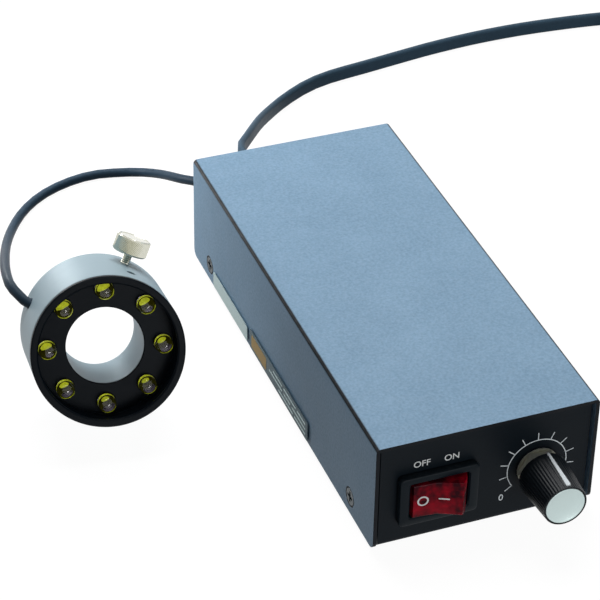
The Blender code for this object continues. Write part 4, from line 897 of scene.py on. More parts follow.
@dataclass(frozen=True)
class Ink:
    """Screen-printed ink or foil, slightly uneven and a little worn."""

    name: str
    colour: Rgb
    worn: Rgb
    roughness: float = 0.55
    metallic: float = 0.0

    def build(self) -> bpy.types.Material:
        """Returns the material."""
        recipe = Recipe(self.name, Metallic=self.metallic, Specular_IOR_Level=0.3)
        wear = recipe.remap(recipe.noise(1700.0, 4.0), 0.58, 0.80)
        recipe.feed("Base Color", recipe.mix(wear, tone(*self.colour), tone(*self.worn)))
        recipe.feed("Roughness", recipe.remap(wear, 0.0, 1.0, self.roughness, self.roughness + 0.2))
        recipe.feed("Normal", recipe.bump(wear, 0.000004))
        return recipe.material


@dataclass(frozen=True)
class Laminate:
    """Circuit board with a lacquer over its tracks."""

    name: str
    lacquer: Rgb
    track: Rgb

    def build(self) -> bpy.types.Material:
        """Returns the material."""
        recipe = Recipe(self.name, Specular_IOR_Level=0.5)
        tracks = recipe.add(
            "ShaderNodeTexBrick",
            {
                "Vector": recipe.coordinates(),
                "Scale": 120.0,
                "Mortar Size": 0.04,
                "Color1": tone(*self.lacquer),
                "Color2": tone(*self.lacquer),
                "Mortar": tone(*self.track),
            },
        )
        grain = recipe.effect(GRAIN, Scale=1200.0, Contrast=0.3)
        recipe.feed("Base Color", recipe.mix(grain.outputs["Shade"], tracks.outputs[0], tone(*self.lacquer)))
        recipe.feed("Roughness", recipe.remap(grain.outputs["Height"], 0.3, 0.7, 0.30, 0.42))
        recipe.feed("Normal", recipe.bump(tracks.outputs[1], 0.00003))
        return recipe.material


@dataclass(frozen=True)
class Winding:
    """Copper winding under tape, with the turns showing through."""

    name: str
    colour: Rgb
    shade: Rgb

    def build(self) -> bpy.types.Material:
        """Returns the material."""
        recipe = Recipe(self.name, Specular_IOR_Level=0.5)
        turns = recipe.add(
            "ShaderNodeTexWave",
            {"Vector": recipe.coordinates(), "Scale": 260.0, "Distortion": 1.5, "Detail": 1.0},
            bands_direction="Z",
        )
        recipe.feed("Base Color", recipe.mix(turns.outputs[1], tone(*self.shade), tone(*self.colour)))
        recipe.feed("Roughness", recipe.remap(turns.outputs[1], 0.0, 1.0, 0.35, 0.5))
        recipe.feed("Normal", recipe.bump(turns.outputs[1], 0.00006))
        return recipe.material


# Control box


@dataclass
class ControlBox:
    """The folded cover and its screws, the chassis with its panels, the feet and the blank label."""

    sheet: float = 0.0010
    bend: float = 0.0012
    low_corner: float = 0.0022
    cut_edge: float = 0.00012
    sharp_deg: float = 50.0
    smooth_deg: float = 40.0
    screw_hole: float = 0.0016
    screw_hole_depth: float = 0.0040
    screw_edge: float = 0.0002
    screw_head: float = 0.0025
    screw_length: float = 0.0046
    recess_slot: float = 0.0008
    recess_span: float = 0.0032
    recess_depth: float = 0.0012
    foot_edge: float = 0.0005
    label_corner: float = 0.0006
    slate_end: float = 0.0444
    silver_start: float = 0.0465
    silver_height: float = 0.0048
    amber_along: Spot = (0.0312, 0.0428)
    amber_up: Spot = (0.0010, 0.0050)
    rule: float = 0.0005
    rule_start: float = 0.0014
    rule_gap: float = 0.0012
    rule_rows: tuple[tuple[float, tuple[float, ...]], ...] = (
        (0.0046, (0.0060, 0.0090, 0.0070)),
        (0.0030, (0.0100, 0.0050, 0.0100)),
        (0.0014, (0.0080, 0.0110)),
    )
    print_thickness: float = 0.00006
    foot_stem: float = 0.0015
    foot_barb: float = 0.0022
    # The last colour is the painted shade of the cover's bends and cut edges.
    paint: Paint = Paint(
        "speckled_blue_grey_paint", (150, 184, 212), (112, 145, 172), (8, 13, 19), sheen_level=0.1
    )
    panel_paint: Paint = Paint(
        "black_panel_paint", (11, 20, 27), (8, 14, 19), grain=1500.0, sheen_level=0.08, dust=0.01
    )
    screw_metal: Metal = Metal("black_oxide_steel", (52, 66, 72), (32, 42, 47), roughness=0.4, metallic=0.5)
    rubber: Plastic = Plastic("foot_rubber", (26, 27, 28), (18, 18, 19), 0.75, 0.2, 900.0, 0.00003)
    foil: Ink = Ink("silver_label_foil", (186, 208, 208), (160, 182, 182), 0.42, 0.3)
    amber: Ink = Ink("amber_label_ink", (182, 150, 84), (140, 122, 84))
    slate: Ink = Ink("slate_label_ink", (92, 114, 122), (74, 94, 102))

    def build(self) -> None:
        """Builds and dresses all of the box."""
        self.build_cover()
        self.build_screws()
        self.build_feet()
        self.build_label()
        dressed(self.panel_paint.build(), ("base_chassis",))

    def build_cover(self) -> None:
        """Folds the cover from a block without ends or floor, and sinks its screw holes."""
        half = BOX_SIZE.x / 2
        top = BOX_SIZE.z
        work = Workpiece.block("cover_shell", (-half, 0.0, 0.0), (half, BOX_SIZE.y, top))
        work.pick(Part.FACE, lambda middle, way: abs(way.y) > FACING or way.z < -FACING)
        bpy.ops.mesh.delete(type="FACE")
        work.round_edges(self.bend, 8, lambda middle, way: abs(way.y) > FACING and middle.z > top / 2)
        work.pick(Part.VERT, lambda middle, way: middle.z < 1e-6)
        bpy.ops.mesh.bevel(offset=self.low_corner, segments=6, affect="VERTICES")
        cover = work.finish(BOX)
        change(cover, "SOLIDIFY", thickness=self.sheet, offset=-1.0, use_even_offset=True)
        cutters = []
        for number in range(1, 5):
            hole, bore = self.screw_hole, self.screw_head + SEAT_GAP
            profile = [(hole, -self.screw_hole_depth), (hole, hole - bore), (bore, 0.0), (bore, DRILL_REACH)]
            cutters.append(turned(f"screw_hole_{number}", profile, self.screw_place(number), 32))
        cut(cover, *cutters)
        limit = math.radians(self.sharp_deg)
        change(cover, "BEVEL", width=self.cut_edge, segments=2, limit_method="ANGLE", angle_limit=limit)
        bpy.ops.object.shade_smooth_by_angle(angle=math.radians(self.smooth_deg))
        fitted(cover, self.paint.build(), "grey_blue_paint", "top_cover")

    def screw_place(self, number: int) -> Matrix:
        """Returns the frame of one cover screw, with Z out of the side of the box.

        Args:
            number: The screw's number, from 1.

        Returns:
            The frame.
        """
        low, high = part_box(f"cover_screw_{number}")
        left = low.x < BOX.translation.x
        place = (low.x if left else high.x, (low.y + high.y) / 2, (low.z + high.z) / 2)
        return placed(place, OUT_OF_LEFT if left else OUT_OF_RIGHT)

    def build_screws(self) -> None:
        """Turns one countersunk screw, cuts its cross recess and copies it to its places."""
        shank = self.screw_hole - SEAT_GAP
        profile = [
            (shank * 0.7, -self.screw_length),
            (shank, 0.0005 - self.screw_length),
            (shank, shank - self.screw_head),
            (self.screw_head - self.screw_edge / 2, -self.screw_edge),
            (self.screw_head - self.screw_edge, 0.0),
        ]
        screw = turned("screw_pattern", profile, sides=32)
        long, short, deep = self.recess_span / 2, self.recess_slot / 2, self.recess_depth
        across = Workpiece.block("slot_across", (-long, -short, -deep), (long, short, deep)).finish()
        along = Workpiece.block("slot_along", (-short, -long, -deep), (short, long, deep)).finish()
        cut(screw, across, along)
        places = {f"countersunk_screw_{number}": self.screw_place(number) for number in range(1, 5)}
        metal = self.screw_metal.build()
        for number, copy in enumerate(spread(screw, places), start=1):
            fitted(copy, metal, "steel", f"cover_screw_{number}")

    def build_feet(self) -> None:
        """Turns one foot with rounded edges and copies it."""
        size = size_of("foot_1")
        radius = size.x / 2
        edge = self.foot_edge
        face = COVER_LOW.z
        round_over = arc((radius - edge, edge - face), edge, (-90.0, -67.5, -45.0, -22.5, 0.0))
        profile = [
            (radius * 0.35, -face + edge),
            (radius * 0.45, -face),
            *round_over,
            (radius, -SEAT_GAP),
            (self.foot_stem, -SEAT_GAP),
            (self.foot_stem, self.sheet + SEAT_GAP),
            (self.foot_barb, self.sheet + SEAT_GAP),
            (self.foot_stem, size.z - face),
        ]
        foot = turned("foot_pattern", profile, sides=40)
        places = {}
        for number in range(1, 5):
            middle = middle_of(f"foot_{number}")
            places[f"rubber_foot_{number}"] = placed((middle.x, middle.y, face))
        rubber = self.rubber.build()
        for number, copy in enumerate(spread(foot, places), start=1):
            fitted(copy, rubber, "black_rubber", f"foot_{number}")

    def label_field(
        self, name: str, along: Spot, up: Spot, proud: float, corner: float
    ) -> bpy.types.Object:
        """Makes one flat field of the label.

        Args:
            name: The piece's name.
            along: Where it starts and ends along the box, from the label's front end.
            up: Where it starts and ends upwards, from the label's low edge.
            proud: How far its face stands off the label's own.
            corner: The radius of its corners.

        Returns:
            The field.
        """
        low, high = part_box("rating_label")
        first = (low.x - proud, low.y + along[0], low.z + up[0])
        last = (high.x, low.y + along[1], low.z + up[1])
        work = Workpiece.block(name, first, last)
        work.round_edges(corner, 4, lambda middle, way: abs(way.x) > FACING)
        return work.finish()

    def build_label(self) -> None:
        """Makes the blank label: a slate plate with an amber field and plain rules, and a silver strip."""
        size = size_of("rating_label")
        proud, corner = self.print_thickness, self.label_corner
        slate, foil, amber = self.slate.build(), self.foil.build(), self.amber.build()
        plate = self.label_field("label_plate", (0.0, self.slate_end), (0.0, size.z), 0.0, corner)
        fitted(plate, slate, "label_foil", "rating_label")
        along, up = (self.silver_start, size.y), (0.0, self.silver_height)
        strip = self.label_field("label_silver_strip", along, up, 0.0, corner)
        fitted(strip, foil, "label_foil")
        patch = self.label_field("label_amber_field", self.amber_along, self.amber_up, proud, corner)
        fitted(patch, amber, "label_foil")
        for row, (height, dashes) in enumerate(self.rule_rows, start=1):
            start = self.rule_start
            for number, length in enumerate(dashes, start=1):
                along, up = (start, start + length), (height - self.rule / 2, height + self.rule / 2)
                dash = self.label_field(f"label_rule_{row}_{number}", along, up, proud, self.rule * 0.3)
                fitted(dash, foil, "label_foil")
                start += length + self.rule_gap


# Rocker switch


@dataclass
class RockerSwitch:
    """The bezel, the red rocker with its two marks, and the terminals behind."""

    bezel_depth: float = 0.0020
    bezel_corner: float = 0.0012
    bezel_edge: float = 0.0004
    opening_width: float = 0.0157
    opening_height: float = 0.0107
    opening_corner: float = 0.0005
    lip: float = 0.0004
    cavity_depth: float = 0.0100
    body_width: float = 0.0190
    body_height: float = 0.0126
    body_depth: float = 0.0142
    travel_deg: float = 30.0
    slope_deg: float = 10.0
    end_gap: float = 0.00035
    side_gap: float = 0.0003
    proud: float = 0.0008
    face_distance: float = 0.0030
    rocker_depth: float = 0.0048
    rocker_edge: float = 0.00035
    off_radius: float = 0.00150
    stroke: float = 0.00044
    on_length: float = 0.0028
    off_place: float = 0.0044
    on_place: float = 0.0021
    ink_thickness: float = 0.00005
    gloss: Plastic = Plastic("switch_black_plastic", (15, 26, 33), (10, 18, 24), 0.34, 0.08)
    # Its second colour is the painted shadow of the switch's inside.
    tinted: TintedPlastic = TintedPlastic("red_rocker_plastic", (164, 8, 34), (56, 4, 18))
    ink: Ink = Ink("white_ink", (232, 236, 236), (190, 196, 198))
    brass: Metal = Metal("tinned_brass", (214, 190, 120), (178, 150, 88), roughness=0.3)
    word_height: float = 0.0018
    word_gap: float = 0.0022
    words: tuple[tuple[str, str, float], ...] = (("off_word", "OFF", -0.0042), ("on_word", "ON", 0.0038))
    at: Matrix = field(init=False)
    tilted: Matrix = field(init=False)

    def __post_init__(self) -> None:
        """Finds the frame of the switch and that of the rocker, which rests on its off side."""
        self.at = on_panel("switch_housing")
        pivot = SEAT_GAP + self.bezel_depth + self.proud - self.face_distance
        tilt = Matrix.Rotation(-math.radians(self.travel_deg / 2), 4, "Y")
        self.tilted = self.at @ Matrix.Translation((0.0, 0.0, pivot)) @ tilt

    def build(self) -> None:
        """Builds and dresses all of the switch."""
        self.build_housing()
        self.build_rocker()
        self.build_marks()
        self.build_words()
        dressed(self.brass.build(), [f"switch_terminal_{number}" for number in range(1, 4)])

    def build_housing(self) -> None:
        """Pulls a rounded ring from the cavity's bottom over the lip and the rim to the body behind."""
        size = size_of("switch_housing")
        front = SEAT_GAP + self.bezel_depth
        edge, lip = self.bezel_edge, self.lip
        opening = (self.opening_width, self.opening_height, self.opening_corner)
        rows = (
            (*opening, -self.cavity_depth),
            (*opening, front - lip),
            (opening[0] + 2 * lip, opening[1] + 2 * lip, self.opening_corner + lip, front),
            (size.x - 2 * edge, size.z - 2 * edge, self.bezel_corner - edge * 0.5, front),
            (size.x - 0.6 * edge, size.z - 0.6 * edge, self.bezel_corner, front - 0.3 * edge),
            (size.x, size.z, self.bezel_corner, front - edge),
            (size.x, size.z, self.bezel_corner, SEAT_GAP),
            (self.body_width, self.body_height, self.opening_corner, SEAT_GAP),
            (self.body_width, self.body_height, self.opening_corner, -self.body_depth),
        )
        rings = [lifted(rounded_outline(*outline), height) for *outline, height in rows]
        housing = stacked("switch_bezel", rings, self.at)
        fitted(housing, self.gloss.build(), "black_gloss_plastic", "switch_housing")

    def rocker_outline(self) -> list[Spot]:
        """Returns the rocker's outline across its pivot, with Y out of the panel, anticlockwise.

        Returns:
            The points.
        """
        radius = self.opening_width / 2 - self.end_gap
        slope = math.radians(self.slope_deg)
        corner = math.acos(self.face_distance / radius) - slope
        bottom = math.asin(self.rocker_depth / radius)
        start = math.radians(90.0) - corner
        steps = 12
        turns = [math.degrees(-bottom + (start + bottom) * step / steps) for step in range(steps + 1)]
        right = arc((0.0, 0.0), radius, turns)
        left = [(-x, y) for x, y in reversed(right)]
        valley = (0.0, self.face_distance / math.cos(slope))
        return [*right, valley, *left]

    def build_rocker(self) -> None:
        """Pulls the rocker's outline across the opening and rounds its edges."""
        half = self.opening_height / 2 - self.side_gap
        outline = self.rocker_outline()
        work = Workpiece.hoop("red_rocker", 0.005, -half, len(outline))
        start = next(i for i, spot in enumerate(outline) if spot[1] >= 0.0)
        ordered = outline[start:] + outline[:start]
        work.place_ring(lifted(ordered, -half))
        bpy.ops.mesh.edge_face_add()
        work.extrude((0.0, 0.0, 2 * half))
        work.round_edges(
            self.rocker_edge,
            3,
            lambda middle, way: abs(abs(middle.z) - half) < 1e-6 and middle.y > 0.0 and abs(way.z) < 0.5,
        )
        stand = Matrix.Rotation(math.radians(90.0), 4, "X")
        rocker = work.finish(self.tilted @ stand)
        fitted(rocker, self.tinted.build(), "red_plastic", "switch_rocker", body="rocker")

    def face_frame(self, side: int, along: float) -> Matrix:
        """Returns a frame on one of the rocker's faces, with its Z out of it.

        Args:
            side: -1 for the left face, 1 for the right one.
            along: How far from the valley, along the face.

        Returns:
            The frame in the world.
        """
        slope = Matrix.Rotation(-side * math.radians(self.slope_deg), 4, "Y")
        return self.tilted @ slope @ Matrix.Translation((side * along, 0.0, self.face_distance))

    def build_marks(self) -> None:
        """Prints the plain ring for off and the bar for on."""
        inner = self.off_radius - self.stroke
        ink = self.ink.build()
        thick = self.ink_thickness
        profile = [(inner, -thick), (self.off_radius, -thick), (self.off_radius, thick), (inner, thick)]
        ring = turned("off_mark", profile, self.face_frame(-1, self.off_place), 40, closed=True)
        fitted(ring, ink, "red_plastic", body="rocker")
        half = self.on_length / 2
        work = Workpiece.block("on_mark", (-half, -self.stroke / 2, -thick), (half, self.stroke / 2, thick))
        work.round_edges(self.stroke / 3, 3, lambda middle, way: abs(way.z) > FACING)
        fitted(work.finish(self.face_frame(1, self.on_place)), ink, "red_plastic", body="rocker")

    def build_words(self) -> None:
        """Prints the plain words for the two positions above the switch."""
        ink = self.ink.build()
        height = size_of("switch_housing").z / 2 + self.word_gap
        for name, word, x in self.words:
            printed = lettering(name, word, self.word_height, self.at @ placed((x, height, 0.0)))
            fitted(printed, ink, "black_paint")


# Dimmer


@dataclass
class Dimmer:
    """The fluted knob with its spun cap and white pointer, and the printed dial round it."""

    knob_base: float = 0.0036
    knob_front: float = 0.0168
    base_radius: float = 0.00657
    front_radius: float = 0.00578
    skirt: float = 0.0016
    flutes: int = 48
    points_per_flute: int = 4
    flute_depth: float = 0.00016
    flute_margin: float = 0.0007
    edge: float = 0.00022
    wall: float = 0.0012
    cap_radius: float = 0.0053
    cap_thickness: float = 0.0007
    pointer_deg: float = 83.5
    pointer_base_width: float = 0.0007
    pointer_front_width: float = 0.0013
    pointer_crown_edge: float = 0.00008
    pointer_crown: float = 0.00005
    pointer_proud: float = 0.00025
    dial_radius: float = 0.0081
    tick_end: float = 0.0104
    dial_start_deg: float = 216.0
    dial_step_deg: float = 25.0
    ticks: int = 11
    line: float = 0.00024
    ink_thickness: float = 0.00005
    number_height: float = 0.0019
    number_radius: float = 0.0123
    number_aside_deg: float = 4.7
    gloss: Plastic = Plastic("knob_black_plastic", (19, 26, 32), (11, 16, 20), 0.30, 0.15, 1800.0, 0.000005)
    ink: Ink = Ink("dial_white_ink", (236, 244, 248), (196, 206, 212))
    # The washer and nut are near white with little metallic: bright nickel, lifted further by painted light
    # against the shade of the knob.
    metal: Metal = Metal("nickelled_brass_painted_bright", (246, 246, 230), (206, 206, 190), roughness=0.45, metallic=0.2)
    shaft: Metal = Metal("turned_steel_shaft", (168, 172, 176), (140, 144, 148), Surface.BRUSHED, 0.3)
    hollow: float = 0.0030
    shaft_clearance: float = 0.0015
    base_edge: float = 0.0002
    cap_gap: float = 0.0001
    cap_edge: float = 0.00015
    cap_dish: float = 0.00006
    pointer_margin: float = 0.0008
    pointer_root: float = 0.0005
    at: Matrix = field(init=False)

    def __post_init__(self) -> None:
        """Finds the frame of the knob, on the panel with Z out of it."""
        self.at = on_panel("pot_washer")

    def build(self) -> None:
        """Builds and dresses all of the dimmer."""
        self.build_knob()
        self.build_cap()
        self.build_pointer()
        self.build_dial()
        dressed(self.metal.build(), ("pot_washer", "pot_nut"))
        dressed(self.shaft.build(), ("pot_body", "pot_shaft"))

    def knob_ring(self, radius: float, height: float, fluted: bool) -> list[Point]:
        """Returns one ring of the knob, with or without its flutes.

        Args:
            radius: The ring's radius.
            height: Where it is along the knob.
            fluted: Whether the flutes cut it.

        Returns:
            The points.
        """
        sides = self.flutes * self.points_per_flute
        points = []
        for number in range(sides):
            place = number % self.points_per_flute
            reach = radius - (self.flute_depth if fluted and place in (1, 2) else 0.0)
            points += lifted(arc((0.0, 0.0), reach, (360.0 * number / sides,)), height)
        return points

    def build_knob(self) -> None:
        """Pulls the knob up its height: a hollow base, a smooth skirt, the flutes and a cap recess."""
        skirt_end = self.knob_base + self.skirt
        body_end = self.knob_front - self.edge - self.flute_margin
        slope = (self.base_radius - self.front_radius) / (self.knob_front - self.edge - skirt_end)
        pocket = self.base_radius - self.wall
        cap = self.cap_radius + self.cap_gap
        seat = self.knob_front - self.cap_thickness - self.cap_gap
        grip = size_of("pot_shaft").x / 2 + SEAT_GAP
        rings = [
            (grip, seat - self.shaft_clearance, False),
            (grip, self.knob_base + self.hollow, False),
            (pocket, self.knob_base + self.hollow, False),
            (pocket, self.knob_base, False),
            (self.base_radius - self.base_edge, self.knob_base, False),
            (self.base_radius, self.knob_base + self.base_edge, False),
            (self.base_radius, skirt_end, False),
            (self.base_radius - slope * self.flute_margin, skirt_end + self.flute_margin, True),
            (self.front_radius + slope * self.flute_margin, body_end, True),
            (self.front_radius, self.knob_front - self.edge, False),
            (self.front_radius - self.edge * 0.3, self.knob_front - self.edge * 0.3, False),
            (self.front_radius - self.edge, self.knob_front, False),
            (cap, self.knob_front, False),
            (cap, seat, False),
        ]
        knob = stacked("fluted_knob", [self.knob_ring(*ring) for ring in rings], self.at)
        fitted(knob, self.gloss.build(), "black_gloss_plastic", "dimmer_knob", body="knob")

    def build_cap(self) -> None:
        """Turns the flat cap with a fine bright edge."""
        front, radius = self.knob_front, self.cap_radius
        profile = [
            (radius, front - self.cap_thickness),
            (radius, front - self.cap_edge),
            (radius - self.cap_edge, front),
            (radius * 0.93, front),
            (radius * 0.91, front - self.cap_dish),
            (radius * 0.05, front - self.cap_dish),
        ]
        spun = Metal(
            "spun_aluminium",
            (192, 210, 210),
            (188, 202, 200),
            Surface.SPUN,
            0.34,
            metallic=0.85,
            relief=0.000008,
            centre=tuple(self.at.translation),
            turn=(math.radians(-90.0), 0.0, 0.0),
        )
        cap = turned("knob_disc", profile, self.at, 96)
        fitted(cap, spun.build(), "aluminium", "knob_cap", body="knob")

    def build_pointer(self) -> None:
        """Lays the raised white line along the knob's side."""
        start = self.knob_base + self.base_edge
        end = self.knob_front - self.pointer_margin
        drop = (self.base_radius - self.front_radius) * (end - start) / (self.knob_front - self.knob_base)
        half = self.pointer_base_width / 2
        low = (-half, self.base_radius - self.pointer_root, start)
        high = (half, self.base_radius + self.pointer_proud, end)
        work = Workpiece.block("knob_pointer", low, high)
        work.pick(Part.FACE, lambda middle, way: way.z > FACING)
        work.scale((self.pointer_front_width / self.pointer_base_width, 1.0, 1.0), (0.0, 0.0, end))
        bpy.ops.transform.translate(value=(0.0, -drop, 0.0))
        work.round_edges(self.pointer_base_width * 0.45, 4, lambda middle, way: abs(way.y) > FACING)
        work.pick(Part.FACE, lambda middle, way: way.y > FACING)
        bpy.ops.mesh.inset(thickness=self.pointer_crown_edge, depth=self.pointer_crown)
        turn = Matrix.Rotation(math.radians(self.pointer_deg - 90.0), 4, "Z")
        pointer = work.finish(self.at @ turn)
        fitted(pointer, self.ink.build(), "black_gloss_plastic", body="knob")

    def build_dial(self) -> None:
        """Prints the arc, its ticks, and plain numbers at both ends."""
        ink = self.ink.build()
        thick = self.ink_thickness
        sweep = self.dial_step_deg * (self.ticks - 1)
        end_deg = self.dial_start_deg - sweep
        inner = self.dial_radius - self.line / 2
        low, high = (inner, -self.line / 2, 0.0), (inner + self.line, self.line / 2, thick)
        work = Workpiece.block("dial_arc", low, high)
        work.pick(Part.FACE, lambda middle, way: way.y < FACING)
        bpy.ops.mesh.delete(type="FACE")
        bpy.ops.mesh.select_all(action="SELECT")
        bpy.ops.transform.translate(value=(0.0, -self.line / 2, 0.0))
        bpy.ops.mesh.spin(steps=96, angle=math.radians(sweep), center=(0.0, 0.0, 0.0), axis=(0.0, 0.0, 1.0))
        ink_ring = work.finish(self.at @ Matrix.Rotation(math.radians(self.dial_start_deg), 4, "Z"))
        fitted(ink_ring, ink, "black_paint")
        tick = Workpiece.block(
            "tick_pattern", (self.dial_radius, -self.line / 2, 0.0), (self.tick_end, self.line / 2, thick)
        )
        tick.round_edges(self.line * 0.2, 2, lambda middle, way: abs(way.z) > FACING)
        places = {}
        for number in range(self.ticks):
            angle = math.radians(self.dial_start_deg - number * self.dial_step_deg)
            places[f"dial_tick_{number}"] = self.at @ Matrix.Rotation(angle, 4, "Z")
        for copy in spread(tick.finish(), places):
            fitted(copy, ink, "black_paint")
        aside = self.number_aside_deg
        spots = arc((0.0, 0.0), self.number_radius, (self.dial_start_deg + aside, end_deg - aside))
        for number, (word, spot) in enumerate(zip(("0", "10"), spots, strict=True)):
            place = self.at @ placed((*spot, 0.0))
            printed = lettering(f"dial_number_{number}", word, self.number_height, place)
            fitted(printed, ink, "black_paint")


# Inside of the box


@dataclass
class Electronics:
    """Finishes of the board and of what stands on it, whose shapes are the frame's own."""

    green: Laminate = Laminate("green_board", (24, 104, 62), (62, 150, 98))
    winding: Winding = Winding("taped_winding", (214, 172, 62), (168, 122, 36))
    core: Metal = Metal("laminated_core", (112, 112, 116), (84, 84, 88), Surface.BRUSHED, 0.4, relief=0.00003)
    sleeve: Plastic = Plastic("blue_capacitor_sleeve", (40, 70, 130), (28, 52, 104), 0.3, 0.5)
    nylon: Plastic = Plastic("white_nylon", (226, 226, 218), (206, 206, 198), 0.45, 0.4)
    sink: Metal = Metal("extruded_sink", (58, 60, 64), (44, 46, 50), Surface.BRUSHED, 0.4, metallic=0.6)
    chip: Plastic = Plastic("regulator_epoxy", (34, 34, 36), (24, 24, 26), 0.5, 0.4)
    zinc: Metal = Metal("zinc_plated_steel", (190, 194, 198), (160, 164, 168), roughness=0.32)

    def build(self) -> None:
        """Dresses every node inside the box."""
        corners = range(1, 5)
        dressed(self.green.build(), ("circuit_board",))
        dressed(self.nylon.build(), ("head_connector", *(f"board_spacer_{number}" for number in corners)))
        dressed(self.zinc.build(), [f"board_screw_{number}" for number in corners])
        dressed(self.core.build(), ("transformer_core",))
        dressed(self.winding.build(), ("transformer_winding",))
        dressed(self.sleeve.build(), ("smoothing_capacitor",))
        dressed(self.sink.build(), ("heat_sink",))
        dressed(self.chip.build(), ("regulator",))


# Lamp head


@dataclass
class LampHead:
    """The grey housing, the black lamp holder, eight lamps, the thumb screw and its soft tip."""

    radius: float = 0.0201
    length: float = 0.02675
    bore: float = 0.01025
    azimuth_deg: float = -8.3
    elevation_deg: float = 21.3
    flange: float = 0.0015
    wall: float = 0.0010
    tube_wall: float = 0.0012
    rear_wall: float = 0.0024
    edge: float = 0.00035
    recess: float = 0.0070
    holder_disc: float = 0.0030
    holder_wall: float = 0.0007
    bore_lip: float = 0.0004
    thread_pitch: float = 0.0006
    thread_depth: float = 0.00014
    thread_margin: float = 0.0009
    thread_lead: float = 0.0004
    lamps: int = 8
    lamp_edge_inset: float = 0.00295
    lamp_phase_deg: float = 3.7
    lamp_radius: float = 0.00235
    lamp_flange: float = 0.0027
    lamp_length: float = 0.0087
    lamp_proud: float = 0.0044
    lamp_hole_edge: float = 0.0001
    lamp_foot: float = 0.0010
    cup_depth: float = 0.0052
    cup_radius: float = 0.00125
    cup_wall: float = 0.00022
    cup_wall_height: float = 0.0012
    cup_height: float = 0.0022
    cup_dish: float = 0.0004
    lead_width: float = 0.0010
    lead_edge: float = 0.00012
    cathode_drop: float = 0.0016
    cathode_inset: float = 0.0003
    anode_drop: float = 0.0003
    anode_inset: float = 0.0009
    phosphor_radius: float = 0.00082
    phosphor_dome: float = 0.00015
    clamp_depth: float = 0.0200
    clamp_deg: float = 64.8
    clamp_hole: float = 0.0015
    clamp_hole_edge: float = 0.0002
    clamp_drilled: float = 0.0110
    side_reach: float = 0.0030
    shank: float = 0.0012
    shank_thread: float = 0.00012
    shank_pitch: float = 0.0005
    shank_start: float = -0.0063
    neck: float = 0.00275
    knurl_radius: float = 0.00465
    knurl_height: float = 0.0045
    knurl_teeth: int = 60
    knurl_rows: int = 7
    knurl_twist_deg: float = 24.0
    knurl_depth: float = 0.00024
    knurl_edge: float = 0.0004
    knurl_dish: float = 0.00012
    grub_radius: float = 0.00095
    grub_depth: float = 0.00835
    grub_sink: float = 0.0009
    grub_drilled: float = 0.0020
    grub_length: float = 0.0026
    socket_radius: float = 0.0005
    socket_depth: float = 0.0012
    cord_depth: float = 0.0203
    cord_deg: float = 150.0
    cord_slant_deg: float = 37.0
    cord_hole: float = 0.0016
    housing_metal: Metal = Metal(
        "grey_anodised_aluminium",
        (158, 179, 189),
        (144, 166, 176),
        Surface.BLASTED,
        0.45,
        metallic=0.15,
        grain=3600.0,
        relief=0.00001,
        level=0.2,
    )
    holder_metal: Metal = Metal(
        "black_anodised_aluminium",
        (10, 17, 23),
        (6, 11, 17),
        Surface.BLASTED,
        0.38,
        metallic=0.0,
        grain=3000.0,
        relief=0.000008,
        level=0.04,
    )
    nickel: Metal = Metal("nickel_plate", (222, 221, 208), (198, 199, 186), roughness=0.12, relief=0.000002)
    resin: Resin = Resin("clear_lamp_resin", (250, 252, 246))
    # The phosphor carries a painted glow.
    phosphor: Phosphor = Phosphor("yellow_phosphor", (176, 182, 30), (140, 146, 14))
    # The silver cup and leads get a dark grey colour: painted shade for the dark inside of the lamp.
    cup_metal: Metal = Metal("lamp_cup_silver_painted_dark", (84, 78, 90), (44, 40, 52), Surface.PLATED, 0.2)
    grub_metal: Metal = Metal("blackened_steel", (38, 42, 46), (24, 27, 30), roughness=0.35, metallic=0.6)
    board: Laminate = Laminate("white_lamp_board", (226, 226, 220), (196, 196, 190))
    nylon: Plastic = Plastic("clamp_tip_nylon", (226, 226, 218), (206, 206, 198), 0.45, 0.4)
    at: Matrix = field(init=False)
    front: float = field(init=False)
    inner: float = field(init=False)
    recess_radius: float = field(init=False)
    holder_back: float = field(init=False)

    def __post_init__(self) -> None:
        """Finds the frame of the head, with Z out of its face, and the sizes that follow from others."""
        self.front = self.flange + SEAT_GAP
        self.inner = self.radius - self.wall
        self.recess_radius = self.inner - SEAT_GAP - self.holder_wall
        self.holder_back = self.recess + self.holder_disc
        lean = (math.radians(90.0 - self.elevation_deg), 0.0, math.radians(self.azimuth_deg))
        out = Euler(lean).to_matrix() @ Vector((0.0, 0.0, 1.0))
        self.at = placed(middle_of("head_housing") + out * (self.front + self.length) / 2, lean)

    def build(self) -> None:
        """Builds and dresses all of the head."""
        self.build_housing()
        self.build_holder()
        self.build_lamps()
        self.build_thumb_screw()
        self.build_grub_screw()
        dressed(self.board.build(), ("led_board",))
        dressed(self.nylon.build(), ("clamp_tip",))

    def radial(self, angle_deg: float, depth: float) -> Matrix:
        """Returns a frame on the head's surface, with Z away from its axis.

        Args:
            angle_deg: Where it is round the head, anticlockwise from X.
            depth: How far it is behind the face.

        Returns:
            The frame.
        """
        angle = math.radians(angle_deg)
        place = (self.radius * math.cos(angle), self.radius * math.sin(angle), -depth)
        return self.at @ placed(place, (0.0, math.radians(90.0), angle))

    def cord_entry(self) -> tuple[Vector, Vector]:
        """Returns where the cord enters the head and which way it comes out, in the head's frame.

        Returns:
            The point and the direction.
        """
        angle, slant = math.radians(self.cord_deg), math.radians(self.cord_slant_deg)
        aside = Vector((math.cos(angle), math.sin(angle), 0.0))
        entry = aside * self.radius - Vector((0.0, 0.0, self.cord_depth))
        return entry, aside * math.cos(slant) - Vector((0.0, 0.0, math.sin(slant)))

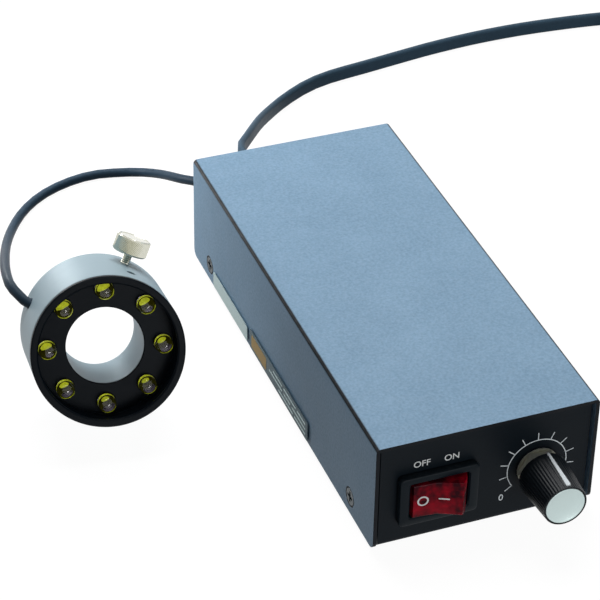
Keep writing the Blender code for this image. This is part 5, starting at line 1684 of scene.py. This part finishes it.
    def build_housing(self) -> None:
        """Turns the outer wall, the rear wall and the bore's tube, and drills the three side holes."""
        front, edge, rear = -self.front, self.edge, -self.length
        tube_front = -self.recess - self.bore_lip - SEAT_GAP
        tube = self.bore + self.tube_wall
        inside = -self.length + self.rear_wall
        profile = [
            (self.radius - edge, front),
            (self.radius, front - edge),
            (self.radius, rear + edge),
            (self.radius - edge, rear),
            (self.bore + edge, rear),
            (self.bore, rear + edge),
            (self.bore, tube_front),
            (tube, tube_front),
            (tube, inside),
            (self.inner, inside),
            (self.inner, front),
        ]
        housing = turned("ring_housing", profile, self.at, 128, closed=True)
        reach, hole = self.side_reach, self.clamp_hole
        sink = hole + self.clamp_hole_edge
        clamp_profile = [(hole, -self.clamp_drilled), (hole, -0.0003), (sink, 0.0001), (sink, reach)]
        clamp = turned("clamp_drill", clamp_profile, self.radial(self.clamp_deg, self.clamp_depth), 24)
        grub_hole = self.grub_radius + SEAT_GAP
        grub_profile = [(grub_hole, -self.grub_drilled), (grub_hole, reach)]
        grub = turned("grub_drill", grub_profile, self.radial(self.clamp_deg, self.grub_depth), 24)
        entry, way = self.cord_entry()
        cord_at = self.at @ Matrix.LocRotScale(entry, way.to_track_quat("Z", "Y"), None)
        cord = turned("cord_drill", [(self.cord_hole, -reach), (self.cord_hole, reach)], cord_at, 24)
        cut(housing, clamp, grub, cord)
        fitted(housing, self.housing_metal.build(), "grey_anodised", "head_housing")

    def build_holder(self) -> None:
        """Turns the black holder with a threaded recess, and drills its lamp and grub holes."""
        rim, wall = self.radius, self.recess_radius
        outer = self.inner - SEAT_GAP
        tube = self.bore + self.tube_wall + SEAT_GAP
        edge = self.edge
        thread = []
        turns = int((self.recess - 2 * self.thread_margin) / self.thread_pitch)
        for number in range(turns):
            height = -self.thread_margin - number * self.thread_pitch
            thread.append((wall, height))
            thread.append((wall + self.thread_depth, height - self.thread_pitch / 2))
        floor, lead_in = -self.recess, self.thread_lead
        profile = [
            (wall + lead_in, 0.0),
            (rim - edge, 0.0),
            (rim, -edge),
            (rim, -self.flange),
            (outer, -self.flange),
            (outer, -self.holder_back),
            (tube, -self.holder_back),
            (tube, floor - self.bore_lip),
            (self.bore, floor - self.bore_lip),
            (self.bore, floor - lead_in / 2),
            (self.bore + lead_in / 2, floor),
            (wall, floor),
            *reversed(thread),
            (wall, -lead_in),
        ]
        holder = turned("threaded_lamp_holder", profile, self.at, 128, closed=True)
        drill = self.lamp_radius + SEAT_GAP * 0.4
        flare = self.lamp_hole_edge
        wide = drill + 2 * flare
        drill_profile = [
            (drill, -self.holder_back - DRILL_REACH),
            (drill, floor - flare),
            (wide, floor + flare),
            (wide, floor + DRILL_REACH),
        ]
        pattern = turned("lamp_drill", drill_profile, sides=32)
        drills = spread(pattern, {f"lamp_drill_{number}": at for number, at in self.lamp_places()})
        grub_hole = self.grub_radius + SEAT_GAP
        grub_end = -self.grub_sink - self.grub_length - SEAT_GAP
        grub_profile = [(grub_hole, grub_end), (grub_hole, DRILL_REACH)]
        grub = turned("grub_drill", grub_profile, self.radial(self.clamp_deg, self.grub_depth), 24)
        cut(holder, joined(*drills), grub)
        fitted(holder, self.holder_metal.build(), "black_anodised", "led_holder")

    def lamp_places(self) -> list[tuple[int, Matrix]]:
        """Returns each lamp's number and frame, clockwise from the top one.

        Returns:
            The numbers, from 1, with their frames.
        """
        circle = self.recess_radius - self.lamp_edge_inset
        places = []
        for number in range(self.lamps):
            angle = math.radians(90.0 - self.lamp_phase_deg) - math.tau * number / self.lamps
            spot = (circle * math.cos(angle), circle * math.sin(angle), 0.0)
            places.append((number + 1, self.at @ placed(spot, (0.0, 0.0, angle + math.radians(90.0)))))
        return places

    def build_lamps(self) -> None:
        """Turns one domed lamp with its silver cup and phosphor, and copies it round the ring."""
        top = -self.recess + self.lamp_proud
        low = top - self.lamp_length
        shoulder = low + self.lamp_foot
        centre = top - self.lamp_radius
        dome = arc((0.0, centre), self.lamp_radius, (0, 12, 24, 36, 48, 60, 70, 79, 86))
        flange = self.lamp_flange
        body_profile = [(flange, low), (flange, shoulder), (self.lamp_radius, shoulder), *dome]
        body = turned("lamp_body_pattern", body_profile, sides=40, smooth_deg=50.0)
        core = self.lamp_core(top - self.cup_depth, low)
        places = self.lamp_places()
        clear = self.resin.build()
        for number, copy in enumerate(spread(body, {f"lamp_{n}": at for n, at in places}), start=1):
            fitted(copy, clear, "clear_resin", f"led_{number}")
        for copy in spread(core, {f"lamp_core_{n}": at for n, at in places}):
            fitted(copy, None, "clear_resin")

    def lamp_core(self, cup_top: float, low: float) -> bpy.types.Object:
        """Turns what shows inside of a lamp: its silver cup on one lead, its other lead and the phosphor.

        Args:
            cup_top: The height of the cup's rim in the head's frame.
            low: The height of the lamp's foot.

        Returns:
            The pattern, with its materials.
        """
        wide, deep = self.cup_radius, self.cup_wall
        cup_profile = [
            (wide * 0.6, cup_top - self.cup_height),
            (wide, cup_top - self.cup_wall_height),
            (wide, cup_top),
            (wide - deep, cup_top),
            (self.phosphor_radius, cup_top - self.cup_dish),
            (self.phosphor_radius * 0.5, cup_top - self.cup_dish),
        ]
        silver = self.cup_metal.build()
        cup = turned("lamp_cup_pattern", cup_profile, sides=32)
        leads = []
        half, lead_low, lead_out = self.lead_width / 2, low + 0.0004, wide + 0.0004
        for name, low_x, high_x, lead_top in (
            ("cathode", -wide, -self.cathode_inset, cup_top - self.cathode_drop),
            ("anode", self.anode_inset, lead_out, cup_top - self.anode_drop),
        ):
            work = Workpiece.block(f"lamp_{name}", (low_x, -half, lead_low), (high_x, half, lead_top))
            work.pick(Part.FACE, lambda middle, way: way.z > FACING)
            work.scale((0.6, 0.7, 1.0), ((low_x + high_x) / 2, 0.0, lead_top))
            work.round_edges(self.lead_edge, 2, lambda middle, way: True)
            leads.append(work.finish())
        cup = joined(cup, *leads)
        cup.data.materials.append(silver)
        bead, dome_height = self.phosphor_radius, self.phosphor_dome
        glow_profile = [
            (bead * 0.7, cup_top - self.cup_dish * 1.5),
            (bead, cup_top - self.cup_dish * 0.5),
            (bead * 0.9, cup_top),
            (bead * 0.5, cup_top + dome_height),
            (bead * 0.2, cup_top + dome_height * 1.2),
        ]
        painted_glow = turned("lamp_phosphor_pattern", glow_profile, sides=32)
        painted_glow.data.materials.append(self.phosphor.build())
        return joined(cup, painted_glow)

    def build_thumb_screw(self) -> None:
        """Pulls the thumb screw up from its threaded shank to its knob with slanting knurls."""
        sides = 2 * self.knurl_teeth
        rings = []

        def add(radius: float, height: float, turn_deg: float = 0.0, cut_depth: float = 0.0) -> None:
            """Adds one ring, with every other point cut in.

            Args:
                radius: The ring's radius.
                height: Where it is along the screw.
                turn_deg: How far it is turned, which slants the knurls.
                cut_depth: How deep the cuts are.
            """
            ring = []
            for number in range(sides):
                reach = radius - (cut_depth if number % 2 else 0.0)
                angle = math.tau * number / sides + math.radians(turn_deg)
                ring.append((reach * math.cos(angle), reach * math.sin(angle), height))
            rings.append(ring)

        height = self.shank_start
        add(self.shank - 0.0003, height)
        while height < self.neck - 1.5 * self.shank_pitch:
            height += self.shank_pitch / 2
            add(self.shank, height)
            height += self.shank_pitch / 2
            add(self.shank - self.shank_thread, height)
        low, high = self.neck, self.neck + self.knurl_height
        add(self.shank, low - 0.0001)
        add(self.knurl_radius * 0.55, low)
        add(self.knurl_radius - self.knurl_edge, low)
        start, end = low + self.knurl_edge, high - self.knurl_edge
        for row in range(self.knurl_rows + 1):
            share = row / self.knurl_rows
            height = start + (end - start) * share
            add(self.knurl_radius, height, self.knurl_twist_deg * share, self.knurl_depth)
        turn = self.knurl_twist_deg
        add(self.knurl_radius - self.knurl_edge, high, turn)
        add(self.knurl_radius * 0.86, high, turn)
        add(self.knurl_radius * 0.83, high - self.knurl_dish, turn)
        add(self.knurl_radius * 0.1, high - self.knurl_dish, turn)
        at = self.radial(self.clamp_deg, self.clamp_depth)
        screw = stacked("knurled_thumb_screw", rings, at)
        fitted(screw, self.nickel.build(), "nickel", "thumb_screw", body="thumb_screw")

    def build_grub_screw(self) -> None:
        """Turns the small set screw with a hexagon socket."""
        low, high = -self.grub_sink - self.grub_length, -self.grub_sink
        edge, wide, key_size = 0.0001, self.grub_radius, self.socket_radius
        profile = [(wide - edge, low), (wide, low + edge), (wide, high - edge), (wide - edge, high)]
        screw = turned("socket_set_screw", profile, sides=32)
        key_profile = [(key_size, high - self.socket_depth), (key_size, high + DRILL_REACH)]
        key = turned("hexagon_key", key_profile, sides=6)
        cut(screw, key)
        screw.data.transform(self.radial(self.clamp_deg, self.grub_depth))
        fitted(screw, self.grub_metal.build(), "steel", "grub_screw")


# Cords


@dataclass
class Cords:
    """The flat mains cord with its coil, tie and plug, the head's round cord, and where they leave."""

    head: LampHead
    mains_thickness: float = 0.0022
    mains_width: float = 0.0044
    mains_shown_width: float = 0.0047
    mains_spacing: float = 0.0060
    mains_length: float = 1.657
    head_radius: float = 0.00138
    head_spacing: float = 0.0048
    head_entry_run: float = 0.0020
    head_entry_inside: float = 0.0030
    coil_x: float = 0.1720
    coil_y: float = 0.1890
    coil_middle_radius: float = 0.0220
    coil_pitch: float = 0.0030
    coil_layer_pitch: float = 0.0049
    coil_layers: int = 2
    coil_turns: float = 5.125
    coil_points_per_turn: int = 24
    coil_start_deg: float = 90.0
    coil_tail: float = 0.0300
    tail_runs: tuple[float, ...] = (1 / 4, 3 / 8, 1 / 2, 5 / 8, 3 / 4, 1.0)
    tail_drops: tuple[float, ...] = (0.0, 1 / 6, 1 / 2, 5 / 6, 1.0, 1.0)
    tie_thickness: float = 0.0005
    tie_width: float = 0.0040
    tie_clearance: float = 0.0003
    tie_deg: float = 215.0
    plug_width: float = 0.0240
    plug_thickness: float = 0.0150
    plug_length: float = 0.0220
    plug_boot: float = 0.0150
    plug_boot_width: float = 0.0060
    plug_edge: float = 0.0012
    plug_grooves: int = 4
    plug_groove_pitch: float = 0.0031
    plug_groove_depth: float = 0.0011
    plug_boot_flare: float = 0.0022
    plug_neck: float = 0.0084
    plug_shoulder: Spot = (0.0145, 0.0120)
    panel_sheet: float = 0.0013
    boot_length: float = 0.0200
    boot_radius: float = 0.0038
    boot_tip: float = 0.0029
    boot_flange: float = 0.0048
    boot_flange_length: float = 0.0020
    boot_grooves: int = 5
    boot_groove_start: float = 0.0045
    boot_groove_pitch: float = 0.0026
    boot_groove_depth: float = 0.0006
    grommet_radius: float = 0.0032
    grommet_neck: float = 0.0024
    grommet_length: float = 0.0025
    grommet_flange: float = 0.0015
    grommet_edge: float = 0.0003
    head_jacket: Plastic = Plastic(
        "black_head_cord_jacket", (38, 58, 74), (29, 45, 58), 0.45, 0.07, 900.0, 0.00002
    )
    mains_jacket: Plastic = Plastic(
        "black_mains_cord_jacket", (60, 84, 102), (48, 68, 84), 0.45, 0.07, 700.0, 0.00003
    )
    moulded: Plastic = Plastic(
        "moulded_black_plastic", (26, 34, 42), (18, 24, 30), 0.42, 0.1, 1300.0, 0.00002
    )
    rubber: Plastic = Plastic("grommet_rubber", (24, 26, 28), (17, 18, 20), 0.7, 0.25, 1100.0, 0.00002)
    pin_metal: Metal = Metal("nickelled_pin", (214, 212, 202), (188, 186, 176), Surface.BRUSHED, 0.25)

    def build(self) -> None:
        """Builds both cords and all that is on them."""
        moulded = self.moulded.build()
        self.build_boot(moulded)
        self.build_grommet()
        self.build_head_cord()
        start = self.exit_place("mains_bushing", self.boot_length)
        coil, way = self.coil_points()
        mains = self.build_mains_cord(start, coil)
        tie = self.build_tie()
        plug = self.build_plug(moulded, coil[-1], way)

    def exit_frame(self, node: str) -> Matrix:
        """Returns a frame on the rear panel's face, opposite a CAD node, with Z out of it."""
        middle = middle_of(node)
        return placed((middle.x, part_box("base_chassis")[1].y, middle.z), OUT_OF_REAR)

    def exit_place(self, node: str, sleeve: float) -> Vector:
        """Returns where a cord leaves its sleeve at the rear, in the frame of the box."""
        return BOX.inverted() @ self.exit_frame(node) @ Vector((0.0, 0.0, sleeve + SEAT_GAP))

    def build_boot(self, finish: bpy.types.Material) -> None:
        """Turns the tapered strain relief with its flexing grooves.

        Args:
            finish: Its material.
        """
        wide, flange, inside = self.boot_radius, self.boot_flange, -self.panel_sheet
        edge, neck, depth = 0.0004, self.boot_flange_length, self.boot_groove_depth
        profile = [
            (flange, inside - neck),
            (flange, inside),
            (wide, inside),
            (wide, SEAT_GAP),
            (flange - edge, SEAT_GAP),
            (flange, SEAT_GAP + edge),
            (flange, neck - edge),
            (flange - edge, neck),
            (wide, neck),
        ]
        for number in range(self.boot_grooves):
            height = self.boot_groove_start + number * self.boot_groove_pitch
            radius = wide + (self.boot_tip - wide) * (height - neck) / (self.boot_length - neck)
            profile += [(radius, height), (radius - depth, height + 0.0002)]
            profile += [(radius - depth, height + 0.0009), (radius, height + 0.0011)]
        profile += [(self.boot_tip, self.boot_length - 0.0006), (self.boot_tip - 0.0005, self.boot_length)]
        boot = turned("tapered_strain_relief", profile, self.exit_frame("mains_bushing"), 48)
        fitted(boot, finish, "soft_black_plastic", "mains_bushing")

    def build_grommet(self) -> None:
        """Turns the rounded rubber grommet of the head's cord."""
        radius, neck, length = self.grommet_radius, self.grommet_neck, self.grommet_length
        inside, edge = -self.panel_sheet, self.grommet_edge
        profile = [
            (radius, inside - self.grommet_flange),
            (radius, inside),
            (neck, inside),
            (neck, SEAT_GAP),
            (radius - edge, SEAT_GAP),
            (radius, SEAT_GAP + edge),
            (radius, length * 0.5),
            (radius - edge, length * 0.8),
            (radius - 3 * edge, length),
        ]
        grommet = turned("rubber_grommet", profile, self.exit_frame("head_cord_grommet"), 40)
        fitted(grommet, self.rubber.build(), "black_rubber", "head_cord_grommet")

    def lay_curve(
        self, name: str, points: Sequence[Vector], radius: float, flat: float = 0.0
    ) -> bpy.types.Object:
        """Lays a cord along its points.

        Args:
            name: The piece's name.
            points: The points of its middle line, in the frame of the box.
            radius: Half its thickness.
            flat: How much further it stands up each way, for a flat cord on edge.

        Returns:
            The curve.
        """
        data = bpy.data.curves.new(name, "CURVE")
        data.dimensions = "3D"
        data.twist_mode = "Z_UP"
        data.resolution_u = 1
        data.render_resolution_u = 0
        data.bevel_depth = radius
        data.bevel_resolution = 5
        data.extrude = flat
        data.use_fill_caps = True
        spline = data.splines.new("POLY")
        spline.points.add(len(points) - 1)
        for point, place in zip(spline.points, points, strict=True):
            point.co = (*(BOX @ place), 1.0)
        spline.use_smooth = True
        laid = bpy.data.objects.new(name, data)
        bpy.context.scene.collection.objects.link(laid)
        return laid

    def build_head_cord(self) -> None:
        """Runs the head's cord from its grommet along the bench and into the side of the head."""
        start = self.exit_place("head_cord_grommet", self.grommet_length)
        entry, way = self.head.cord_entry()
        place = BOX.inverted() @ self.head.at
        ends = [place @ (entry + way * run) for run in (self.head_entry_run, 0.0, -self.head_entry_inside)]
        straight = Vector((0.0, 2 * self.head_radius, 0.0))
        points = [start, start + straight, *(Vector(p) for p in HEAD_ROUTE), *ends]
        route = raised(smooth_route(points, self.head_spacing), self.head_radius)
        cord = self.lay_curve("round_head_cord", route, self.head_radius)
        fitted(cord, self.head_jacket.build(), "soft_black_plastic", "head_cord")

    def coil_point(self, turns: float) -> Vector:
        """Returns a point of the coil, so many turns after its start, in the frame of the box.

        Args:
            turns: How far along the coil it is, in turns.

        Returns:
            The point.
        """
        layer = min(int(turns / self.coil_turns), self.coil_layers - 1)
        along = turns - layer * self.coil_turns
        half_spread = self.coil_turns * self.coil_pitch / 2
        if layer % 2 == 0:
            radius = self.coil_middle_radius + half_spread - self.coil_pitch * along
        else:
            radius = self.coil_middle_radius - half_spread + self.coil_pitch * along
        height = self.coil_base()
        for climb in range(1, self.coil_layers):
            share = (turns - climb * self.coil_turns) * 2 + 1 / 2
            height += self.coil_layer_pitch * min(max(share, 0.0), 1.0)
        angle = math.radians(self.coil_start_deg) - math.tau * turns
        way = Vector((math.cos(angle), math.sin(angle), 0.0))
        return Vector((self.coil_x, self.coil_y, height)) + way * radius

    def coil_base(self) -> float:
        """Returns the height of the lowest turns, which lie on the tie."""
        return self.mains_width / 2 + self.tie_thickness + self.tie_clearance - COVER_LOW.z

    def coil_points(self) -> tuple[list[Vector], Vector]:
        """Lays out the coil with its straight start, and the tail that comes down to the plug.

        Returns:
            The points, in the frame of the box, and the way in which the plug points.
        """
        turns = self.coil_layers * self.coil_turns
        steps = round(turns * self.coil_points_per_turn)
        wound = [self.coil_point(turns * step / steps) for step in range(steps + 1)]
        lead = (self.mains_width + self.mains_thickness) / 2
        heading = math.radians(self.coil_start_deg) - math.tau * turns - math.radians(90.0)
        way = Vector((math.cos(heading), math.sin(heading), 0.0))
        last = wound[-1]
        plug_height = self.plug_thickness / 2 - COVER_LOW.z
        tail = []
        for run, drop in zip(self.tail_runs, self.tail_drops, strict=True):
            point = last + way * (self.coil_tail * run)
            point.z += (plug_height - last.z) * drop
            tail.append(point)
        return [wound[0] - Vector((lead, 0.0, 0.0)), *wound, *tail], way

    def build_mains_cord(self, start: Vector, coil: Sequence[Vector]) -> bpy.types.Object:
        """Lays the whole mains cord as one flat curve.

        Args:
            start: Where it leaves its strain relief, in the frame of the box.
            coil: The points of the coil and of its tail.

        Returns:
            The cord.
        """
        straight = Vector((self.mains_width, 0.0, 0.0))
        end = coil[0] - Vector((SEAT_GAP, 0.0, 0.0))
        points = [start, *(Vector(p) for p in MAINS_ROUTE), end - straight, end]
        route = raised(smooth_route(points, self.mains_spacing), self.mains_shown_width / 2)
        flat = (self.mains_shown_width - self.mains_thickness) / 2
        whole = [*route[:-1], *coil]
        cord = self.lay_curve("flat_mains_cord", whole, self.mains_thickness / 2, flat)
        log.info("the mains cord is %.3f m long", run_length(whole))
        return fitted(cord, self.mains_jacket.build(), "soft_black_plastic", "mains_cord", "mains_coil")

    def build_tie(self) -> bpy.types.Object:
        """Wraps the strap round the bundle of turns.

        Returns:
            The strap.
        """
        angle = math.radians(self.tie_deg)
        width = self.coil_turns * self.coil_pitch + self.mains_thickness + 2 * self.tie_clearance
        height = self.mains_width + (self.coil_layers - 1) * self.coil_layer_pitch + 2 * self.tie_clearance
        middle = self.coil_base() + (self.coil_layers - 1) * self.coil_layer_pitch / 2
        place = (
            self.coil_x + self.coil_middle_radius * math.cos(angle),
            self.coil_y + self.coil_middle_radius * math.sin(angle),
            middle,
        )
        corner = self.mains_thickness / 2
        thick = self.tie_thickness
        inner = rounded_outline(width, height, corner)
        outer = rounded_outline(width + 2 * thick, height + 2 * thick, corner + thick)
        half = self.tie_width / 2
        soft = 0.00012
        middle_line = rounded_outline(width + thick, height + thick, corner + thick / 2)
        section = (
            (inner, -half + soft),
            (middle_line, -half),
            (outer, -half + soft),
            (outer, half - soft),
            (middle_line, half),
            (inner, half - soft),
        )
        rings = [lifted(outline, z) for outline, z in section]
        at = BOX @ placed(place, (math.radians(90.0), 0.0, angle))
        tie = stacked("cord_tie", rings, at, closed=True)
        return fitted(tie, self.rubber.build(), "black_rubber", "coil_tie")

    def build_plug(self, finish: bpy.types.Material, end: Vector, way: Vector) -> bpy.types.Object:
        """Pulls the plug through its sections, from the cord's boot to its face.

        Args:
            finish: Its material.
            end: Where the cord ends, in the frame of the box.
            way: The way in which the plug points.

        Returns:
            The plug.
        """
        at = BOX @ placed(end + way * SEAT_GAP, (math.radians(90.0), 0.0, math.atan2(way.x, -way.y)))
        wide, thick, edge = self.plug_width, self.plug_thickness, self.plug_edge
        boot, start = self.plug_boot, self.plug_boot_width
        face = boot + self.plug_length
        sections = [(start - edge / 2, start - edge / 2, 0.0)]
        for number in range(self.plug_grooves):
            height = edge + number * self.plug_groove_pitch
            across = start + self.plug_boot_flare * height / boot
            inner = across - self.plug_groove_depth
            sections += [(across, across, height), (across, across, height + 0.0018)]
            sections += [(inner, inner, height + 0.0020), (inner, inner, height + 0.0028)]
        sections += [
            (self.plug_neck, self.plug_neck, boot - edge),
            (*self.plug_shoulder, boot + edge),
            (wide - edge, thick, boot + self.plug_length / 3),
            (wide, thick, face - edge),
            (wide - edge * 0.4, thick - edge * 0.4, face - edge * 0.35),
            (wide - edge * 1.4, thick - edge * 1.4, face),
        ]
        rings = []
        for width, height, z in sections:
            corner = min(width, height) / 2 * (0.98 if z < boot else 0.55)
            rings.append(lifted(rounded_outline(width, height, corner), z))
        plug = stacked("moulded_plug", rings, at)
        dressed(self.pin_metal.build(), ("plug_pin_1", "plug_pin_2"))
        return fitted(plug, finish, "soft_black_plastic", "mains_plug")


# Routes of the cords, in the frame of the box

MAINS_ROUTE = (
    (-0.0063, 0.1635, 0.0142),
    (-0.0047, 0.1682, 0.0128),
    (-0.0024, 0.1716, 0.0120),
    (0.0028, 0.1798, 0.0096),
    (0.0095, 0.1907, 0.0058),
    (0.0164, 0.2002, 0.0024),
    (0.0227, 0.2071, 0.0006),
    (0.0312, 0.2128, 0.0003),
    (0.0393, 0.2163, 0.0003),
    (0.0469, 0.2180, 0.0003),
    (0.0543, 0.2191, 0.0003),
    (0.0695, 0.2216, 0.0003),
    (0.0811, 0.2234, 0.0003),
    (0.0986, 0.2250, 0.0003),
    (0.1175, 0.2251, 0.0003),
    (0.1363, 0.2234, 0.0005),
    (0.1522, 0.2206, 0.0008),
)
HEAD_ROUTE = (
    (-0.0213, 0.1524, 0.0130),
    (-0.0255, 0.1619, 0.0098),
    (-0.0278, 0.1739, 0.0046),
    (-0.0308, 0.1820, 0.0010),
    (-0.0343, 0.1857, -0.0004),
    (-0.0387, 0.1872, -0.0006),
    (-0.0432, 0.1881, -0.0006),
    (-0.0478, 0.1881, -0.0006),
    (-0.0529, 0.1871, -0.0006),
    (-0.0582, 0.1852, -0.0006),
    (-0.0638, 0.1821, -0.0006),
    (-0.0698, 0.1767, -0.0004),
    (-0.0739, 0.1709, 0.0003),
    (-0.0774, 0.1640, 0.0019),
    (-0.0809, 0.1549, 0.0050),
    (-0.0843, 0.1437, 0.0098),
    (-0.0876, 0.1311, 0.0158),
    (-0.0909, 0.1171, 0.0222),
    (-0.0930, 0.1057, 0.0268),
    (-0.0938, 0.0985, 0.0293),
)


def run_length(points: Sequence[Vector]) -> float:
    """Returns the length of a polyline."""
    return sum((b - a).length for a, b in zip(points, points[1:], strict=False))


def raised(points: Sequence[Vector], reach: float) -> list[Vector]:
    """Returns a route in which no cord of that reach sinks into the bench."""
    lowest = reach - COVER_LOW.z
    return [Vector((point.x, point.y, max(point.z, lowest))) for point in points]


def smooth_route(points: Sequence[Vector], spacing: float) -> list[Vector]:
    """Returns points at about even steps along a smooth curve.

    Args:
        points: The points that the curve goes through.
        spacing: The step, in metres.

    Returns:
        The points of the curve, with both its ends.
    """
    ends = [2 * points[0] - points[1], *points, 2 * points[-1] - points[-2]]
    fine = []
    for i in range(1, len(ends) - 2):
        knots = [0.0]
        for a, b in zip(ends[i - 1 : i + 2], ends[i : i + 3], strict=True):
            knots.append(knots[-1] + math.sqrt((b - a).length))
        steps = max(2, math.ceil((ends[i + 1] - ends[i]).length / spacing * 6))
        for step in range(steps):
            at = knots[1] + (knots[2] - knots[1]) * step / steps
            fine.append(spline_point(ends[i - 1 : i + 3], knots, at))
    fine.append(points[-1])
    return evenly_spaced(fine, spacing)


def spline_point(corners: Sequence[Vector], knots: Sequence[float], at: float) -> Vector:
    """Returns one point of a Catmull-Rom span through four corners with uneven knots.

    Args:
        corners: The four corners.
        knots: A knot for each corner.
        at: A knot between the middle two.

    Returns:
        The point.
    """
    row = list(corners)
    for reach in (1, 2):
        row = [between(row[i], row[i + 1], knots[i], knots[i + reach], at) for i in range(4 - reach)]
    return between(row[0], row[1], knots[1], knots[2], at)


def between(a: Vector, b: Vector, low: float, high: float, at: float) -> Vector:
    """Returns the point that lies from a to b as far as at lies from low to high."""
    return a.lerp(b, (at - low) / (high - low))


def evenly_spaced(points: Sequence[Vector], spacing: float) -> list[Vector]:
    """Returns points at even steps along a polyline, with both its ends.

    Args:
        points: The polyline.
        spacing: About how far apart the points are.

    Returns:
        The points.
    """
    lengths = [(b - a).length for a, b in zip(points, points[1:], strict=False)]
    total = sum(lengths)
    count = max(2, round(total / spacing))
    result = [points[0]]
    i, walked = 0, 0.0
    for step in range(1, count):
        goal = total * step / count
        while walked + lengths[i] < goal:
            walked += lengths[i]
            i += 1
        result.append(points[i].lerp(points[i + 1], (goal - walked) / lengths[i]))
    result.append(points[-1])
    return result


# Studio


@dataclass(frozen=True)
class Softbox:
    """A square lamp, with its place, what it points at, its size and its power in watts."""

    name: str
    place: Point
    aim: Point
    size: float
    power: float

    def build(self) -> None:
        """Hangs the lamp, out of the camera's sight."""
        data = bpy.data.lights.new(self.name, "AREA")
        data.size, data.energy = self.size, self.power
        lamp = bpy.data.objects.new(self.name, data)
        bpy.context.scene.collection.objects.link(lamp)
        lamp.visible_camera = False
        lamp.location = self.place
        way = Vector(self.aim) - Vector(self.place)
        lamp.rotation_euler = way.to_track_quat("-Z", "Y").to_euler()


@dataclass
class Studio:
    """The camera at the photograph's angle, a pale floor and soft light."""

    camera_place: Point = (-0.217217, -0.427005, 0.412433)
    azimuth_deg: float = -21.321
    elevation_deg: float = 35.800
    roll_deg: float = 1.058
    focal_length: float = 149.487
    sensor: float = 36.0
    clip: Spot = (0.01, 20.0)
    floor_size: float = 6.0
    ambient: float = 0.03
    floor_bounce: Rgb = (90, 90, 90)
    floor_lift: float = 0.955
    lamps: tuple[Softbox, ...] = (
        Softbox("overhead_softbox", (0.10, 0.45, 0.80), (0.0, 0.0, 0.0), 0.8, 8.6),
        Softbox("rear_left_softbox", (-0.75, 0.60, 0.25), (0.0, 0.05, 0.02), 0.5, 0.6),
        Softbox("front_softbox", (0.10, -0.90, 0.15), (0.0, 0.0, 0.02), 0.4, 3.6),
        Softbox("rear_corner_lamp", (-0.05, 0.15, 0.05), (0.02, 0.13, 0.02), 0.05, 0.10),
    )

    def build(self) -> None:
        """Builds the camera, the floor, the world and the lamps."""
        bpy.context.scene.view_settings.view_transform = "Standard"
        self.build_camera()
        self.build_floor()
        self.build_world()
        for lamp in self.lamps:
            lamp.build()

    def build_camera(self) -> None:
        """Places the camera by its azimuth, elevation and roll."""
        a, e, r = (math.radians(value) for value in (self.azimuth_deg, self.elevation_deg, self.roll_deg))
        back = Vector((math.sin(a) * math.cos(e), -math.cos(a) * math.cos(e), math.sin(e)))
        right = Vector((math.cos(a), math.sin(a), 0.0))
        up = back.cross(right)
        level = math.cos(r) * right + math.sin(r) * up
        upright = -math.sin(r) * right + math.cos(r) * up
        data = bpy.data.cameras.new("photo_camera")
        data.lens = self.focal_length
        data.sensor_width = self.sensor
        data.clip_start, data.clip_end = self.clip
        camera = bpy.data.objects.new("photo_camera", data)
        bpy.context.scene.collection.objects.link(camera)
        turn = Matrix((level, upright, back)).transposed().to_4x4()
        camera.matrix_world = Matrix.Translation(BOX @ Vector(self.camera_place)) @ turn
        bpy.context.scene.camera = camera

    def seen_directly(self, bench: NodeBench) -> bpy.types.NodeSocket:
        """Returns 1 for rays from the camera and those that metal and glass send on, else 0.

        Args:
            bench: Where its nodes go.

        Returns:
            The socket with the number.
        """
        path = bench.add("ShaderNodeLightPath")
        mirrored = bench.maths("MAXIMUM", path.outputs["Is Glossy Ray"], path.outputs["Is Transmission Ray"])
        return bench.maths("MAXIMUM", path.outputs["Is Camera Ray"], mirrored)

    def build_floor(self) -> None:
        """Lays a plain pale floor that keeps a soft shadow."""
        bpy.ops.object.select_all(action="DESELECT")
        bpy.ops.mesh.primitive_plane_add(size=self.floor_size)
        floor = bpy.context.object
        floor.name = "studio_floor"
        recipe = Recipe("pale_floor", Roughness=0.9, Specular_IOR_Level=0.0)
        recipe.shader.inputs["Base Color"].default_value = tone(*self.floor_bounce)
        recipe.shader.inputs["Emission Color"].default_value = (1.0, 1.0, 1.0, 1.0)
        lift = recipe.maths("MULTIPLY", self.seen_directly(recipe), self.floor_lift)
        recipe.feed("Emission Strength", lift)
        floor.data.materials.append(recipe.material)

    def build_world(self) -> None:
        """Makes an even sky that is white where it is seen."""
        world = bpy.data.worlds.new("studio")
        world.use_nodes = True
        bpy.context.scene.world = world
        bench = NodeBench(world.node_tree)
        sky = world.node_tree.nodes["Background"]
        strength = bench.remap(self.seen_directly(bench), 0.0, 1.0, self.ambient, 1.0)
        world.node_tree.links.new(strength, sky.inputs["Strength"])
        sky.inputs["Color"].default_value = (1.0, 1.0, 1.0, 1.0)


def main() -> None:
    """Builds the studio, the cords and every sub-assembly."""
    logging.basicConfig(level=logging.INFO, format="%(message)s")
    head = LampHead()
    for assembly in (Studio(), ControlBox(), RockerSwitch(), Dimmer(), Electronics(), head, Cords(head)):
        log.info("building %s", type(assembly).__name__)
        assembly.build()


if __name__ == "__main__":
    main()
